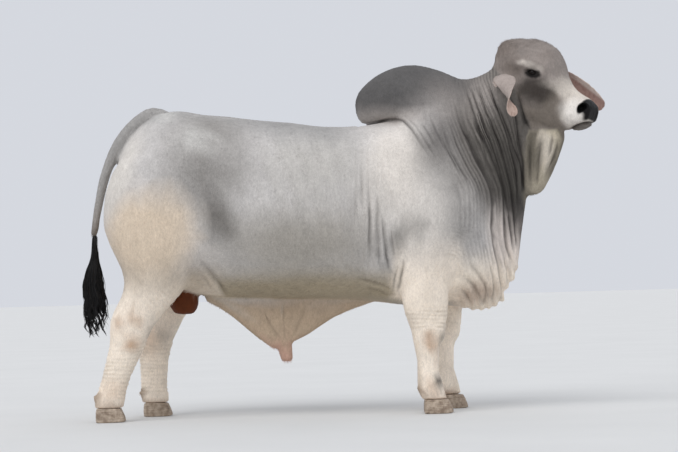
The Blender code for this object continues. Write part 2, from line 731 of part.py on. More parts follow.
def combined(obj, other, operation, drop=True):
    step = obj.modifiers.new(operation, "BOOLEAN")
    step.operation = operation
    step.object = other
    evaluated(obj)
    if drop:
        bpy.data.objects.remove(other)
    return obj


def copy_of(obj, name):
    made = obj.copy()
    made.data = obj.data.copy()
    made.name = name
    bpy.context.scene.collection.objects.link(made)
    return made


def largest(obj):
    """Keeps the largest closed surface of a body."""
    bm = bmesh.new()
    bm.from_mesh(obj.data)
    bmesh.ops.remove_doubles(bm, verts=bm.verts, dist=1e-6)
    left, groups = set(bm.verts), []
    while left:
        stack, group = [left.pop()], []
        while stack:
            vert = stack.pop()
            group.append(vert)
            for edge in vert.link_edges:
                other = edge.other_vert(vert)
                if other in left:
                    left.remove(other)
                    stack.append(other)
        groups.append(group)
    groups.sort(key=len, reverse=True)
    bmesh.ops.delete(bm, geom=[v for g in groups[1:] for v in g], context="VERTS")
    bm.to_mesh(obj.data)
    bm.free()
    return obj


def take(obj, name, make_cutter):
    """Cuts a named piece out of a body, leaving the gap between the two."""
    piece = combined(copy_of(obj, name), make_cutter(0.0), "INTERSECT")
    combined(obj, make_cutter(GAP), "DIFFERENCE")
    return largest(piece)


def finish(obj, name, slot, colour, roughness=0.8, angle=50):
    obj.name = name
    obj.data.name = name
    obj.data.materials.clear()
    obj.data.materials.append(material(slot, colour, roughness))
    obj.data.shade_smooth()
    obj.data.set_sharp_from_angle(angle=math.radians(angle))
    return obj


def ear(name, rows, grow=0.0):
    """A leaf-shaped cup: a rolled root, a wide middle that droops, and a blunt tip."""
    rings = []
    path = [Vector(row[:3]) for row in rows]
    table = np.array([[*row[:6], *row[6]] for row in rows])
    stations = eased(table, 2)
    for i, row in enumerate(stations):
        before = Vector(stations[max(i - 1, 0)][:3])
        after = Vector(stations[min(i + 1, len(stations) - 1)][:3])
        way = (after - before).normalized()
        centre = Vector(row[:3]) - (way * grow if i == 0 else Vector())
        half_wide, roll, cup = row[3:6]
        facing = Vector(row[6:9])
        facing = (facing - way * facing.dot(way)).normalized()
        across = way.cross(facing).normalized()
        share = i / (len(stations) - 1)
        outer, inner = [], []
        for k in range(EAR_POINTS):
            s = -1 + 2 * k / (EAR_POINTS - 1)
            bend = s * roll
            aside = half_wide * math.sin(bend) / math.sin(min(roll, 0.5 * math.pi))
            lift = cup * (1 - math.cos(bend)) / (1 - math.cos(roll))
            normal = (facing * math.cos(bend) - across * math.sin(bend)).normalized()
            rimward = (across * math.cos(bend) + facing * math.sin(bend)).normalized()
            middle = centre + across * aside + facing * lift + rimward * (grow * s)
            half = 0.5 * EAR_THICK * (EAR_ROOT_THICKER - EAR_TIP_THINNER * share)
            half = half * (1 - EAR_RIM_THINNER * abs(s) ** 3) + grow
            outer.append(middle - normal * half)
            inner.append(middle + normal * half)
        rings.append(outer + inner[::-1])
    return loft(name, rings, cupped=True)


def claw(name, x, y, turn, top):
    """One toe of a cloven hoof, its sole flat on the floor."""
    forward = np.array((math.cos(turn), math.sin(turn), 0))
    side = np.array((-math.sin(turn), math.cos(turn), 0))
    return loft(name, [
        ring((x, y, share * top), forward, side, front, back, wide, 2.3, count=CLAW_POINTS)
        for share, back, front, wide in CLAW
    ])


def dewclaws(rows, sign):
    """The two small claws behind a fetlock."""
    z, x, long, y, _ = rows[-2]
    return [ball("dewclaw", (x - long + DEWCLAW_SUNK, sign * y + side * DEWCLAW_APART, z + DEWCLAW_UP),
                 DEWCLAW_RADII, 2) for side in (-1, 1)]


def at_height(table, z):
    """Centre x and half thickness of a table of z, x and half, at a height."""
    rows = sorted(table)
    heights = [row[0] for row in rows]
    return (float(np.interp(z, heights, [row[1] for row in rows])),
            float(np.interp(z, heights, [row[2] for row in rows])))


def lock(number, chance):
    """One flat lock of hair: rooted in the core, out to the outline of the switch, waved to its tip."""
    share = number / (LOCKS - 1)
    turn = number * LOCK_TURN
    root = ROOTS_HIGH + (ROOTS_LOW - ROOTS_HIGH) * share
    tip = TIPS_HIGH + (TIPS_LOW - TIPS_HIGH) * share ** 0.75 + chance.uniform(-0.012, 0.022)
    tip = max(tip, TIPS_LOW)
    fullness = chance.uniform(0.50, 0.96)
    phase = chance.uniform(0, 2 * math.pi)
    waves = chance.uniform(1.0, 1.7)
    rings = []
    for k in range(LOCK_STATIONS):
        t = k / (LOCK_STATIONS - 1)
        z = root + (tip - root) * t
        x, core = at_height(SWITCH_CORE, max(z, SWITCH_CORE[-1][0]))
        _, reach = at_height(SWITCH, z)
        out = LOCK_SUNK * core + (reach * fullness - LOCK_SUNK * core) * min(t / 0.45, 1.0) ** 0.8
        sway = 0.016 * t * math.sin(2 * math.pi * waves * t + phase)
        angle = turn + sway / max(reach, 0.02)
        radial = Vector((math.cos(angle), SWITCH_FLAT * math.sin(angle), 0))
        out += 0.005 * t * math.cos(2 * math.pi * waves * t + phase)
        aside = Vector((-math.sin(angle), math.cos(angle), 0.25 * math.sin(phase + 5 * t)))
        centre = Vector((x, 0, z)) + radial * max(out, 0.004) + aside * sway
        swell = (0.75 + 0.9 * t) * (1 - t) ** 0.55 if t < 1 else 0.0
        wide = LOCK_HALF_WIDE * swell + 0.0014
        thick = LOCK_HALF_THICK * (1 - 0.6 * t) + 0.0003
        rings.append([centre + aside * wide, centre + radial * thick,
                      centre - aside * wide, centre - radial * thick])
    return loft("lock", rings)


def switch_haired():
    """The core with all its locks made one body, of which only the outer surface is kept."""
    core = loft("tail_switch", [
        ring((x, 0, z), (1, 0, 0), (0, 1, 0), half, half, SWITCH_FLAT * half, count=8)
        for z, x, half in SWITCH_CORE
    ])
    chance = random.Random(LOCK_SEED)
    hair = bpy.data.collections.new("locks")
    for number in range(LOCKS):
        one = lock(number, chance)
        bpy.context.scene.collection.objects.unlink(one)
        hair.objects.link(one)
    join = core.modifiers.new("join", "BOOLEAN")
    join.operation = "UNION"
    join.operand_type = "COLLECTION"
    join.collection = hair
    evaluated(core)
    for one in list(hair.objects):
        bpy.data.objects.remove(one)
    bpy.data.collections.remove(hair)
    return largest(core)


def scrotum(grow=0.0):
    return loft("scrotum", [
        ring((x, 0, z), (1, 0, 0), (0, 1, 0), long + grow, long + grow, wide + grow, 2.1, count=16)
        for z, x, long, wide in eased(SCROTUM, 2)
    ])


def stand_on_origin():
    """Moves all so that the floor under the middle of the model is the origin."""
    shown = [o for o in bpy.context.scene.objects if o.type == "MESH"]
    low = np.min([points_of(o).min(0) for o in shown], axis=0)
    high = np.max([points_of(o).max(0) for o in shown], axis=0)
    move = Vector((-0.5 * (low[0] + high[0]), -0.5 * (low[1] + high[1]), -low[2]))
    for obj in shown:
        obj.data.transform(Matrix.Translation(move))
        obj.data.update()


def offset_outline(outline, grow):
    """The outline of a side view, moved outwards. It runs either way round."""
    points = [Vector(p) for p in outline]
    count = len(points)
    area = sum(points[k - 1].cross(points[k]) for k in range(count))
    turn = 1 if area > 0 else -1
    moved = []
    for k in range(count):
        before = (points[k] - points[k - 1]).normalized()
        after = (points[(k + 1) % count] - points[k]).normalized()
        out_a = Vector((before.y, -before.x)) * turn
        out_b = Vector((after.y, -after.x)) * turn
        out = (out_a + out_b).normalized()
        moved.append(points[k] + out * grow / max(out.dot(out_a), 0.3))
    return moved


def prism(outline, y_low, y_high, grow=0.0):
    """A cutter: a side-view outline, in x and z, carried from one y to another."""
    bm = bmesh.new()
    face = bm.faces.new([bm.verts.new((p[0], y_low - grow, p[1]))
                         for p in offset_outline(outline, grow)])
    side = bmesh.ops.extrude_face_region(bm, geom=[face])
    verts = [v for v in side["geom"] if isinstance(v, bmesh.types.BMVert)]
    bmesh.ops.translate(bm, vec=(0, y_high - y_low + 2 * grow, 0), verts=verts)
    bmesh.ops.recalc_face_normals(bm, faces=bm.faces)
    return body_of("cutter", bm)


def head_zone(grow):
    """The cutter round the head, in the head's own frame."""
    zone = prism(HEAD_OUTLINE, -0.5, 0.5, grow)
    zone.data.transform(Matrix.Translation((HEAD_PIVOT_X, 0, 0))
                        @ Matrix.Rotation(-HEAD_TURN, 4, "Z"))
    return zone


def weight_group(obj, name, weights):
    group = obj.vertex_groups.new(name=name)
    levels = np.round(weights * 20).astype(int)
    for level in range(1, 21):
        group.add(np.nonzero(levels == level)[0].tolist(), level / 20, "REPLACE")


def ramp(value, low, high):
    share = np.clip((value - low) / (high - low), 0, 1)
    return share * share * (3 - 2 * share)


def ease_body(obj):
    """Rounds the trunk until its muscles flow into each other, and leaves the fine ends alone."""
    points = points_of(obj)
    x, y, z = points.T
    flat = points[:, [0, 2]]
    weight = ramp(z, 0.50, 0.70)
    above_jaw = ramp(-head_frame(points)[:, 0], -0.06, 0.03)
    below_jaw = (1 - ramp(x, 0.80, 0.88)) * (1 - ramp(z, 1.22, 1.34))
    weight *= np.maximum(above_jaw, below_jaw)
    weight *= ramp(distance_to_line(flat, HUMP_CREASE), 0.015, 0.08)
    weight *= np.maximum(ramp(distance_to_line(flat, SKIN_EDGE), 0.02, 0.12), ramp(np.abs(y), 0.10, 0.16))
    sheath_near = (np.abs(y) < 0.07) & (z < 0.60) & (x < 0.2) & (x > -0.72)
    weight[sheath_near] = 0
    weight_group(obj, "trunk", weight)
    smooth = obj.modifiers.new("ease", "SMOOTH")
    smooth.factor = 0.5
    smooth.iterations = TRUNK_ROUNDS
    smooth.vertex_group = "trunk"
    evaluated(obj)
    obj.vertex_groups.clear()


def shell_cut(obj, cutter):
    """Cuts a body out of another, and keeps the largest surface left."""
    combined(obj, cutter, "DIFFERENCE")
    return largest(obj)


def cut_eyes(head_piece):
    """Sets the eyeballs in their sockets and opens the lids over them."""
    tilt = Matrix.Rotation(-HEAD_TURN, 3, "Z") @ Matrix.Rotation(math.radians(20), 3, "Y")
    for sign, side in ((-1, "right"), (1, "left")):
        centre = head_point(EYE[0], EYE[1] * sign, EYE[2])
        slot = centre + head_way(0, sign, 0) * (EYE_RADIUS + LID_THICK)
        radii = (LID_HALF_LONG, 4 * LID_THICK, LID_HALF_HIGH)
        shell_cut(head_piece, ball("cutter", slot, radii, 2, tilt))
        shell_cut(head_piece, ball("cutter", centre, [EYE_RADIUS + GAP] * 3))
        eye = ball("eye_" + side, centre, [EYE_RADIUS] * 3)
        finish(eye, "eye_" + side, "eye_black", BLACK, 0.12)


def cut_nose(head_piece):
    """Parts the bare black skin of the nose from the muzzle and opens the nostrils."""
    turn = Matrix.Rotation(-HEAD_TURN, 3, "Z")
    middle = head_point(*NOSE_PAD)
    pad = take(head_piece, "nose_pad",
               lambda grow: ball("cutter", middle, [r + grow for r in NOSE_PAD_RADII], 3, turn))
    for sign in (-1, 1):
        place = head_point(NOSTRIL[0], NOSTRIL[1] * sign, NOSTRIL[2])
        lean = turn @ Matrix.Rotation(sign * math.radians(-50), 3, "Z")
        for piece in (pad, head_piece):
            shell_cut(piece, ball("cutter", place, NOSTRIL_RADII, 2, lean))
    finish(pad, "nose_pad", "nose_black", BLACK, 0.35)


def cut_by(bodies, make_cutter):
    """Takes the room that another piece needs, with the gap round it, out of each body."""
    for obj in bodies:
        shell_cut(obj, make_cutter(GAP))


def build_feet(legs):
    """Levels the legs above the hooves and sets two claws under each."""
    for name, rows, sign, piece in legs:
        combined(piece, slab("cutter", (0, 0, CLAW_HIGH + GAP), (0, 0, 1), 4.0), "INTERSECT")
        largest(piece)
        x, y = rows[-1][1], sign * rows[-1][3]
        for side, place in ((-1, "right"), (1, "left")):
            toe = claw("claw", x, y + side * CLAW_APART, -side * CLAW_TOE_IN, CLAW_HIGH)
            finish(toe, name.replace("leg", "claw") + "_" + place, "horn", HORN, 0.55, 60)
        finish(piece, name, "leg_hide", CREAM, 0.85)


def build():
    for obj in list(bpy.data.objects):
        bpy.data.objects.remove(obj)

    stands = [
        ("leg_hind_right", HIND_RIGHT, -1),
        ("leg_hind_left", left_hind_rows(), 1),
        ("leg_fore_right", FORE_RIGHT, -1),
        ("leg_fore_left", left_fore_rows(), 1),
    ]
    limbs = [leg(*stand) for stand in stands]
    for _, rows, sign in stands:
        limbs += dewclaws(rows, sign)
    front = [neck(), throat(), head(), *lids()]
    head_piece = fused("head", [copy_of(piece, "front") for piece in front], HEAD_VOXEL, 16)
    trunk = [torso(), hump(), dewlap(), *sheath(), *limbs, *front]
    whole = fused("whole", trunk, VOXEL, 8)
    ease_body(whole)
    for piece in (whole, head_piece):
        pressed(piece, HEAD_FORMS, head_frame)
        carve_mouth(piece)
    pressed(whole, BODY_FORMS, np.array)

    # The head and the body are thinned apart, so that the head keeps finer faces.
    largest(combined(head_piece, head_zone(CUT_MARGIN), "INTERSECT"))
    combined(whole, head_zone(-CUT_MARGIN), "DIFFERENCE")
    thinned(head_piece, HEAD_TRIANGLES)
    thinned(whole, BODY_TRIANGLES)
    largest(combined(head_piece, head_zone(0.0), "INTERSECT"))
    largest(combined(whole, head_zone(GAP), "DIFFERENCE"))
    cut_eyes(head_piece)
    cut_nose(head_piece)

    side_cut = lambda outline, low=-1.0, high=1.0: (lambda grow: prism(outline, low, high, grow))
    taken = {}
    for name, outline in (("hump", HUMP_OUTLINE), ("throat_flap", THROAT_OUTLINE),
                          ("neck", NECK_OUTLINE), ("dewlap", DEWLAP_OUTLINE)):
        taken[name] = take(whole, name, side_cut(outline))
    for name, _, sign in stands:
        outline, inner = (HIND_OUTLINE, HIND_INNER) if "hind" in name else (FORE_OUTLINE, FORE_INNER)
        low, high = sorted((sign * inner, sign * 1.0))
        taken[name] = take(whole, name, side_cut(outline, low, high))
    taken["sheath"] = take(whole, "sheath", side_cut(SHEATH_OUTLINE, -SHEATH_HALF, SHEATH_HALF))
    taken["torso"] = largest(whole)

    finish(scrotum(), "scrotum", "scrotum_skin", RED_BROWN, 0.6)
    cut_by([taken["torso"], taken["leg_hind_right"], taken["leg_hind_left"]], scrotum)
    tail = tube("tail", eased(TAIL, 2))
    cut_by([taken["torso"]], lambda grow: tube("cutter", eased(TAIL, 2), grow))
    for name, rows in (("ear_right", EAR_RIGHT), ("ear_left", EAR_LEFT)):
        finish(ear(name, rows), name, name, PINK, 0.8)
        shell_cut(head_piece, ear("cutter", rows, EAR_GAP))

    build_feet([(name, rows, sign, taken[name]) for name, rows, sign in stands])
    finish(head_piece, "head", "head_hide", GREY, 0.85)
    finish(taken["torso"], "torso", "trunk_hide", GREY, 0.85)
    finish(taken["hump"], "hump", "hump_hide", DARK_GREY, 0.85)
    finish(taken["neck"], "neck", "neck_hide", DARK_GREY, 0.85)
    finish(taken["throat_flap"], "throat_flap", "throat_hide", CREAM, 0.85)
    finish(taken["dewlap"], "dewlap", "dewlap_hide", CREAM, 0.85)
    finish(taken["sheath"], "sheath", "sheath_hide", PINK, 0.85)
    finish(tail, "tail", "tail_hide", GREY, 0.85)
    finish(switch_haired(), "tail_switch", "tail_hair", BLACK, 0.7, 30)
    stand_on_origin()


build()
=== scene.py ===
"""The look of a grey zebu bull shown as a still, life-size model.

One skin is grown over the fixed solids, creased, coloured and dressed with short hair. Places are
measured in the sculptor's frame, which lies SHIFT away from the model's frame: X forwards, Y to
the bull's left, Z up, in metres. A place on the head is forward, side and z in the head's own
frame, which is turned to the bull's right.
"""

import math

import bpy
import numpy as np
from mathutils import Matrix, Vector
from mathutils.bvhtree import BVHTree


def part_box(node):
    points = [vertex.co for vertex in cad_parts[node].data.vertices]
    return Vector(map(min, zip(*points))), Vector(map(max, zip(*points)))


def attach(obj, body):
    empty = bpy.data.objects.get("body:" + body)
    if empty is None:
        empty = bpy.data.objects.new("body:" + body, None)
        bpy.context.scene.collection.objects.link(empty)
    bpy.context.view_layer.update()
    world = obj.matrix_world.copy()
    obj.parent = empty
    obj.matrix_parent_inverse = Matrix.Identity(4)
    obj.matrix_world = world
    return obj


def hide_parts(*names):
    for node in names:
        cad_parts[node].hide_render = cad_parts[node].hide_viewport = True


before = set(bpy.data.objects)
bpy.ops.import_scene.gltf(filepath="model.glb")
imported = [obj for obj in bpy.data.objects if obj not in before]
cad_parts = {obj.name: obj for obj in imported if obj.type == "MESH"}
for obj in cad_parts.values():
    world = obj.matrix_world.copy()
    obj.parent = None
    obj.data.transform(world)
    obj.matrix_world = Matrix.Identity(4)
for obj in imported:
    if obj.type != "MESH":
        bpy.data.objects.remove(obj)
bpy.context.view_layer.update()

FLESH = (
    "torso", "neck", "hump", "dewlap", "throat_flap", "head", "nose_pad", "ear_right", "ear_left",
    "leg_fore_right", "leg_fore_left", "leg_hind_right", "leg_hind_left", "sheath", "scrotum", "tail",
)
CLAWS = [f"claw_{foot}_{toe}" for foot in ("fore_right", "fore_left", "hind_right", "hind_left")
         for toe in ("right", "left")]

# The head's frame, the eyes, the nostrils and the mouth, as the solids have them.
HEAD_TURN = math.radians(28)
HEAD_PIVOT_X = 0.80
EYE = np.array((0.152, 0.0965, 1.576))
EYE_RADIUS = 0.0225
NOSTRIL = np.array((0.382, 0.075, 1.400))
MOUTH = [(0.440, 1.348), (0.400, 1.335), (0.370, 1.327), (0.340, 1.318), (0.305, 1.307), (0.290, 1.303)]
NOSE_PAD = np.array((0.440, 0.0, 1.398))
NOSE_PAD_RADII = np.array((0.121, 0.106, 0.052))

# The skin's mesh, and how many rounds of easing the body, the ears and the ears' tips get.
FLESH_GROWTH = 0.0004
VOXEL = 0.005
SKIN_TRIANGLES = 186000
EAR_THINNER = 0.0020
BODY_ROUNDS, EAR_ROUNDS, TIP_ROUNDS = 150, 30, 12
EAR_REGAIN = 1.03

# How far apart the fine wrinkles, the ribs and the rings of the hooves lie.
SHOULDER_WRINKLES, GIRTH_WRINKLES, SHANK_WRINKLES, THIGH_WRINKLES = 0.0175, 0.026, 0.0185, 0.022
EDGE_WAVES = 0.038
RIBS = 0.088
HOOF_RINGS = 0.0085

# Lids: half length and half heights of the opening, how full its outline is, and thickness of the
# lid. Then the way that the eye looks and the way that its opening is long.
LID_LONG, LID_HIGH, LID_LOW = 0.0225, 0.0118, 0.0092
LID_POWER = 1.7
LID_THICK = 0.0036
EYE_OUT = np.array((0.22, 0.97, 0.05))
EYE_ALONG = np.array((0.95, -0.20, -0.30))

# The photograph's viewpoint. At the bull's distance one pixel is PIXEL wide, and the level line of
# sight lies HORIZON_DROP pixels under the photograph's middle.
CAMERA_PLACE = (-0.04, -10.0, 0.575)
PIXEL = 0.00475
HORIZON_DROP = 66
CAMERA_FOCUS = 10.0 / PIXEL
CAMERA_ROLL = math.radians(1.6)
CAMERA_PITCH = math.atan(HORIZON_DROP / CAMERA_FOCUS)
PHOTO_WIDE = 678
SENSOR = 36.0
FULL_TURN = 2 * math.pi


def ramp(value, low, high):
    """A smooth step from 0 at low to 1 at high."""
    share = np.clip((value - low) / (high - low), 0, 1)
    return share * share * (3 - 2 * share)


def unit(vectors):
    """Vectors made one long."""
    return vectors / np.maximum(np.linalg.norm(vectors, axis=-1, keepdims=True), 1e-12)


def waves(value, spacing):
    """A wave from -1 to 1 that repeats at a spacing."""
    return np.sin(value * 2 * math.pi / spacing)


def head_frame(points):
    """Points of the sculptor's frame as forward, side and z of the head's own frame."""
    c, s = math.cos(HEAD_TURN), math.sin(HEAD_TURN)
    x, y = points[:, 0] - HEAD_PIVOT_X, points[:, 1]
    return np.stack([x * c - y * s, x * s + y * c, points[:, 2]], axis=1)


def from_head(places):
    """Places of the head's own frame brought back to the sculptor's frame."""
    c, s = math.cos(HEAD_TURN), math.sin(HEAD_TURN)
    forward, side, z = places.T
    return np.stack([HEAD_PIVOT_X + forward * c + side * s, -forward * s + side * c, z], axis=1)


def on_left(framed):
    """Places of the head's frame with its right half turned over onto the left."""
    return framed * (1, 0, 1) + np.abs(framed) * (0, 1, 0)


def head_share(points):
    """1 on the head and 0 on the rest, for the coat."""
    forward = head_frame(points)[:, 0]
    return ramp(forward, -0.06, 0.0) * ramp(points[:, 2], 1.29, 1.32)


def middle_of(node):
    """The middle of a solid's box."""
    low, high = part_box(node)
    return 0.5 * (np.array(low) + np.array(high))


# The solids that the skin asks how near they are.
NEAR = {name: BVHTree.FromObject(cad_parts[name], bpy.context.evaluated_depsgraph_get())
        for name in ("ear_right", "ear_left", "tail", "scrotum")}
# How far the model's frame lies from the sculptor's frame.
SHIFT = middle_of("eye_right") - from_head(np.array([EYE * (1, -1, 1)]))[0]


def grain(i, j, k, seed):
    """A repeatable number from 0 to 1 for each cell of a grid."""
    mixed = (i * 374761393 + j * 668265263 + k * 1440662683 + seed * 974634777) & 0xFFFFFFFF
    mixed = ((mixed ^ (mixed >> 13)) * 1274126177) & 0xFFFFFFFF
    return ((mixed ^ (mixed >> 16)) & 0xFFFF) / 65535.0


def cloud(points, size, seed=0):
    """Smooth noise from -1 to 1 whose lumps are about size across."""
    q = points / size
    cell = np.floor(q).astype(np.int64)
    f = q - cell
    f = f * f * (3 - 2 * f)
    total = np.zeros(len(points))
    for corner in range(8):
        step = (corner & 1, corner >> 1 & 1, corner >> 2)
        weight = np.ones(len(points))
        for axis in range(3):
            weight *= f[:, axis] if step[axis] else 1 - f[:, axis]
        total += weight * grain(*(cell[:, axis] + step[axis] for axis in range(3)), seed)
    return 2 * total - 1


def along(flat, line):
    """Signed distance of side-view points to a broken line, and how far along it they lie."""
    line = np.array(line, float)
    spans = np.diff(line, axis=0)
    lengths = np.linalg.norm(spans, axis=1)
    starts = np.concatenate([[0.0], np.cumsum(lengths)])
    best = np.full(len(flat), 1e9)
    place = np.zeros(len(flat))
    for start, span, length, before in zip(line, spans, lengths, starts):
        t = np.clip(((flat - start) @ span) / length ** 2, 0, 1)
        off = flat - (start + t[:, None] * span)
        far = np.linalg.norm(off, axis=1)
        near = far < np.abs(best)
        turn = np.where(span[0] * off[:, 1] - span[1] * off[:, 0] < 0, -1.0, 1.0)
        best = np.where(near, far * turn, best)
        place = np.where(near, (before + t * length) / starts[-1], place)
    return best, place


def curved(line, steps=5):
    """A smooth curve through a few places."""
    line = np.array(line, float)
    padded = np.vstack([2 * line[0] - line[1], line, 2 * line[-1] - line[-2]])
    made = []
    for i in range(len(line) - 1):
        a, b, c, d = padded[i: i + 4]
        for k in range(steps):
            t = k / steps
            made.append(0.5 * (2 * b + (c - a) * t + (2 * a - 5 * b + 4 * c - d) * t ** 2
                               + (3 * b - a - 3 * c + d) * t ** 3))
    made.append(line[-1])
    return np.array(made)


# Skin folds in side view: x and z along the bottom of the fold, half width, depth, and how soon it
# fades in and out as a share of its length.
NECK_FOLDS = [
    ([(0.518, 1.464), (0.538, 1.361), (0.572, 1.266), (0.616, 1.158), (0.669, 1.054), (0.681, 0.983),
      (0.676, 0.820), (0.704, 0.680), (0.719, 0.563)], 0.0075, 0.015, 0.15, 0.03),
    ([(0.571, 1.538), (0.592, 1.453), (0.630, 1.312), (0.682, 1.193), (0.729, 1.052), (0.740, 0.935),
      (0.745, 0.795), (0.774, 0.692)], 0.0070, 0.013, 0.10, 0.04),
    ([(0.590, 1.542), (0.624, 1.429), (0.666, 1.287), (0.709, 1.169), (0.743, 1.028), (0.765, 0.841),
      (0.789, 0.724)], 0.0060, 0.010, 0.10, 0.10),
    ([(0.628, 1.546), (0.657, 1.428), (0.708, 1.286), (0.747, 1.168), (0.775, 1.027), (0.789, 0.887),
      (0.795, 0.747)], 0.0060, 0.010, 0.10, 0.06),
    ([(0.670, 1.563), (0.713, 1.426), (0.760, 1.285), (0.797, 1.143), (0.807, 1.003), (0.808, 0.900)],
     0.0065, 0.011, 0.12, 0.20),
    ([(0.713, 1.450), (0.756, 1.331), (0.795, 1.223), (0.829, 1.119), (0.826, 1.000)],
     0.0060, 0.008, 0.2, 0.2),
    ([(0.755, 1.544), (0.798, 1.402), (0.821, 1.261), (0.836, 1.144), (0.840, 1.000)],
     0.0080, 0.009, 0.3, 0.1),
    ([(0.440, 1.290), (0.484, 1.196), (0.541, 1.087)], 0.0050, 0.005, 0.3, 0.4),
    ([(0.446, 1.375), (0.485, 1.223), (0.550, 1.093), (0.585, 1.021)], 0.0050, 0.005, 0.4, 0.3),
    ([(0.480, 1.400), (0.515, 1.250), (0.570, 1.130), (0.625, 1.020)], 0.0045, 0.004, 0.4, 0.4),
]
# Fine creases run between these pairs of neck folds, at these shares of the way across.
FINE_FOLDS = [(0, 1, 0.30), (0, 1, 0.62), (1, 2, 0.5), (2, 3, 0.35), (2, 3, 0.7), (3, 4, 0.3),
              (3, 4, 0.65), (4, 5, 0.5), (5, 6, 0.4), (5, 6, 0.75)]
FINE_WIDE, FINE_DEEP = 0.0042, 0.0042
OTHER_FOLDS = [
    ([(0.050, 1.352), (0.085, 1.363), (0.145, 1.370), (0.208, 1.380), (0.263, 1.374), (0.301, 1.340),
      (0.337, 1.283), (0.367, 1.225), (0.404, 1.151)], 0.0065, 0.010, 0.05, 0.50),
    ([(0.270, 1.400), (0.322, 1.352), (0.358, 1.290), (0.392, 1.228), (0.430, 1.160)],
     0.0050, 0.0034, 0.3, 0.4),
    ([(0.330, 1.395), (0.372, 1.330), (0.412, 1.250), (0.448, 1.180)], 0.0045, 0.0030, 0.3, 0.4),
    ([(0.385, 1.420), (0.415, 1.340), (0.448, 1.255), (0.490, 1.165)], 0.0045, 0.0032, 0.3, 0.4),
    ([(0.074, 1.196), (0.070, 1.040), (0.066, 0.900)], 0.0060, 0.004, 0.4, 0.4),
    ([(0.040, 1.120), (0.034, 0.960), (0.036, 0.820)], 0.0060, 0.003, 0.4, 0.4),
    ([(0.107, 1.154), (0.102, 0.980), (0.098, 0.805), (0.104, 0.700)], 0.0065, 0.007, 0.4, 0.3),
    ([(0.136, 1.060), (0.139, 0.877), (0.135, 0.735), (0.150, 0.640)], 0.0075, 0.014, 0.3, 0.3),
    ([(0.157, 0.960), (0.163, 0.830), (0.176, 0.720), (0.200, 0.620)], 0.0070, 0.011, 0.3, 0.3),
    ([(0.200, 0.900), (0.205, 0.780), (0.222, 0.680)], 0.0055, 0.004, 0.4, 0.3),
    ([(0.262, 0.735), (0.240, 0.640), (0.222, 0.560)], 0.0075, 0.010, 0.4, 0.2),
    ([(0.228, 0.700), (0.214, 0.640), (0.203, 0.570)], 0.0060, 0.006, 0.4, 0.2),
    ([(-0.720, 0.760), (-0.655, 0.700), (-0.600, 0.615), (-0.575, 0.560)], 0.0110, 0.006, 0.4, 0.2),
    ([(-0.700, 0.690), (-0.660, 0.640), (-0.640, 0.580)], 0.0060, 0.0025, 0.4, 0.3),
    ([(0.500, 0.650), (0.556, 0.612), (0.602, 0.556), (0.628, 0.490)], 0.0110, 0.007, 0.4, 0.1),
    ([(0.545, 0.710), (0.598, 0.650), (0.640, 0.575), (0.655, 0.500)], 0.0090, 0.007, 0.4, 0.1),
    ([(0.505, 0.585), (0.548, 0.545), (0.575, 0.495)], 0.0090, 0.006, 0.4, 0.2),
    ([(0.660, 0.696), (0.681, 0.588), (0.669, 0.503)], 0.0060, 0.010, 0.4, 0.05),
    ([(0.625, 0.640), (0.640, 0.570), (0.630, 0.490)], 0.0060, 0.008, 0.4, 0.05),
    ([(0.700, 0.658), (0.716, 0.563), (0.712, 0.500)], 0.0055, 0.008, 0.3, 0.05),
    ([(0.808, 1.503), (0.821, 1.447), (0.846, 1.362), (0.877, 1.300)], 0.0070, 0.007, 0.3, 0.3),
    ([(0.922, 1.306), (0.912, 1.180), (0.897, 1.040)], 0.0130, 0.010, 0.3, 0.2),
    ([(1.000, 1.290), (0.992, 1.220), (0.966, 1.150), (0.935, 1.080)], 0.0100, 0.006, 0.3, 0.3),
    ([(0.972, 1.300), (0.968, 1.230), (0.950, 1.170)], 0.0080, 0.005, 0.3, 0.4),
    ([(0.874, 1.290), (0.866, 1.150), (0.872, 1.020)], 0.0100, 0.008, 0.3, 0.3),
    ([(0.000, 0.640), (0.080, 0.625), (0.160, 0.600), (0.212, 0.565)], 0.0060, 0.0045, 0.4, 0.3),
    ([(0.060, 0.592), (0.120, 0.580), (0.188, 0.552)], 0.0055, 0.0040, 0.4, 0.3),
    ([(-0.430, 0.520), (-0.380, 0.440), (-0.330, 0.350)], 0.0060, 0.004, 0.3, 0.2),
    ([(-0.200, 0.520), (-0.240, 0.440), (-0.285, 0.350)], 0.0060, 0.004, 0.3, 0.2),
    ([(-0.310, 0.540), (-0.315, 0.450), (-0.310, 0.340)], 0.0050, 0.003, 0.3, 0.2),
]
# How high a fold's lips stand, as a share of its depth.
LIP_SHARE = 0.42


def fine_folds():
    """Light creases between the neck folds, each a blend of its two neighbours."""
    made = []
    for first, second, share in FINE_FOLDS:
        a, b = curved(NECK_FOLDS[first][0]), curved(NECK_FOLDS[second][0])
        heights = np.linspace(min(a[0, 1], b[0, 1]), max(a[-1, 1], b[-1, 1]) + 0.05, 10)
        xa = np.interp(-heights, -a[:, 1], a[:, 0])
        xb = np.interp(-heights, -b[:, 1], b[:, 0])
        line = np.stack([xa + (xb - xa) * share, heights], axis=1)
        made.append((line, FINE_WIDE, FINE_DEEP, 0.35, 0.35))
    return made


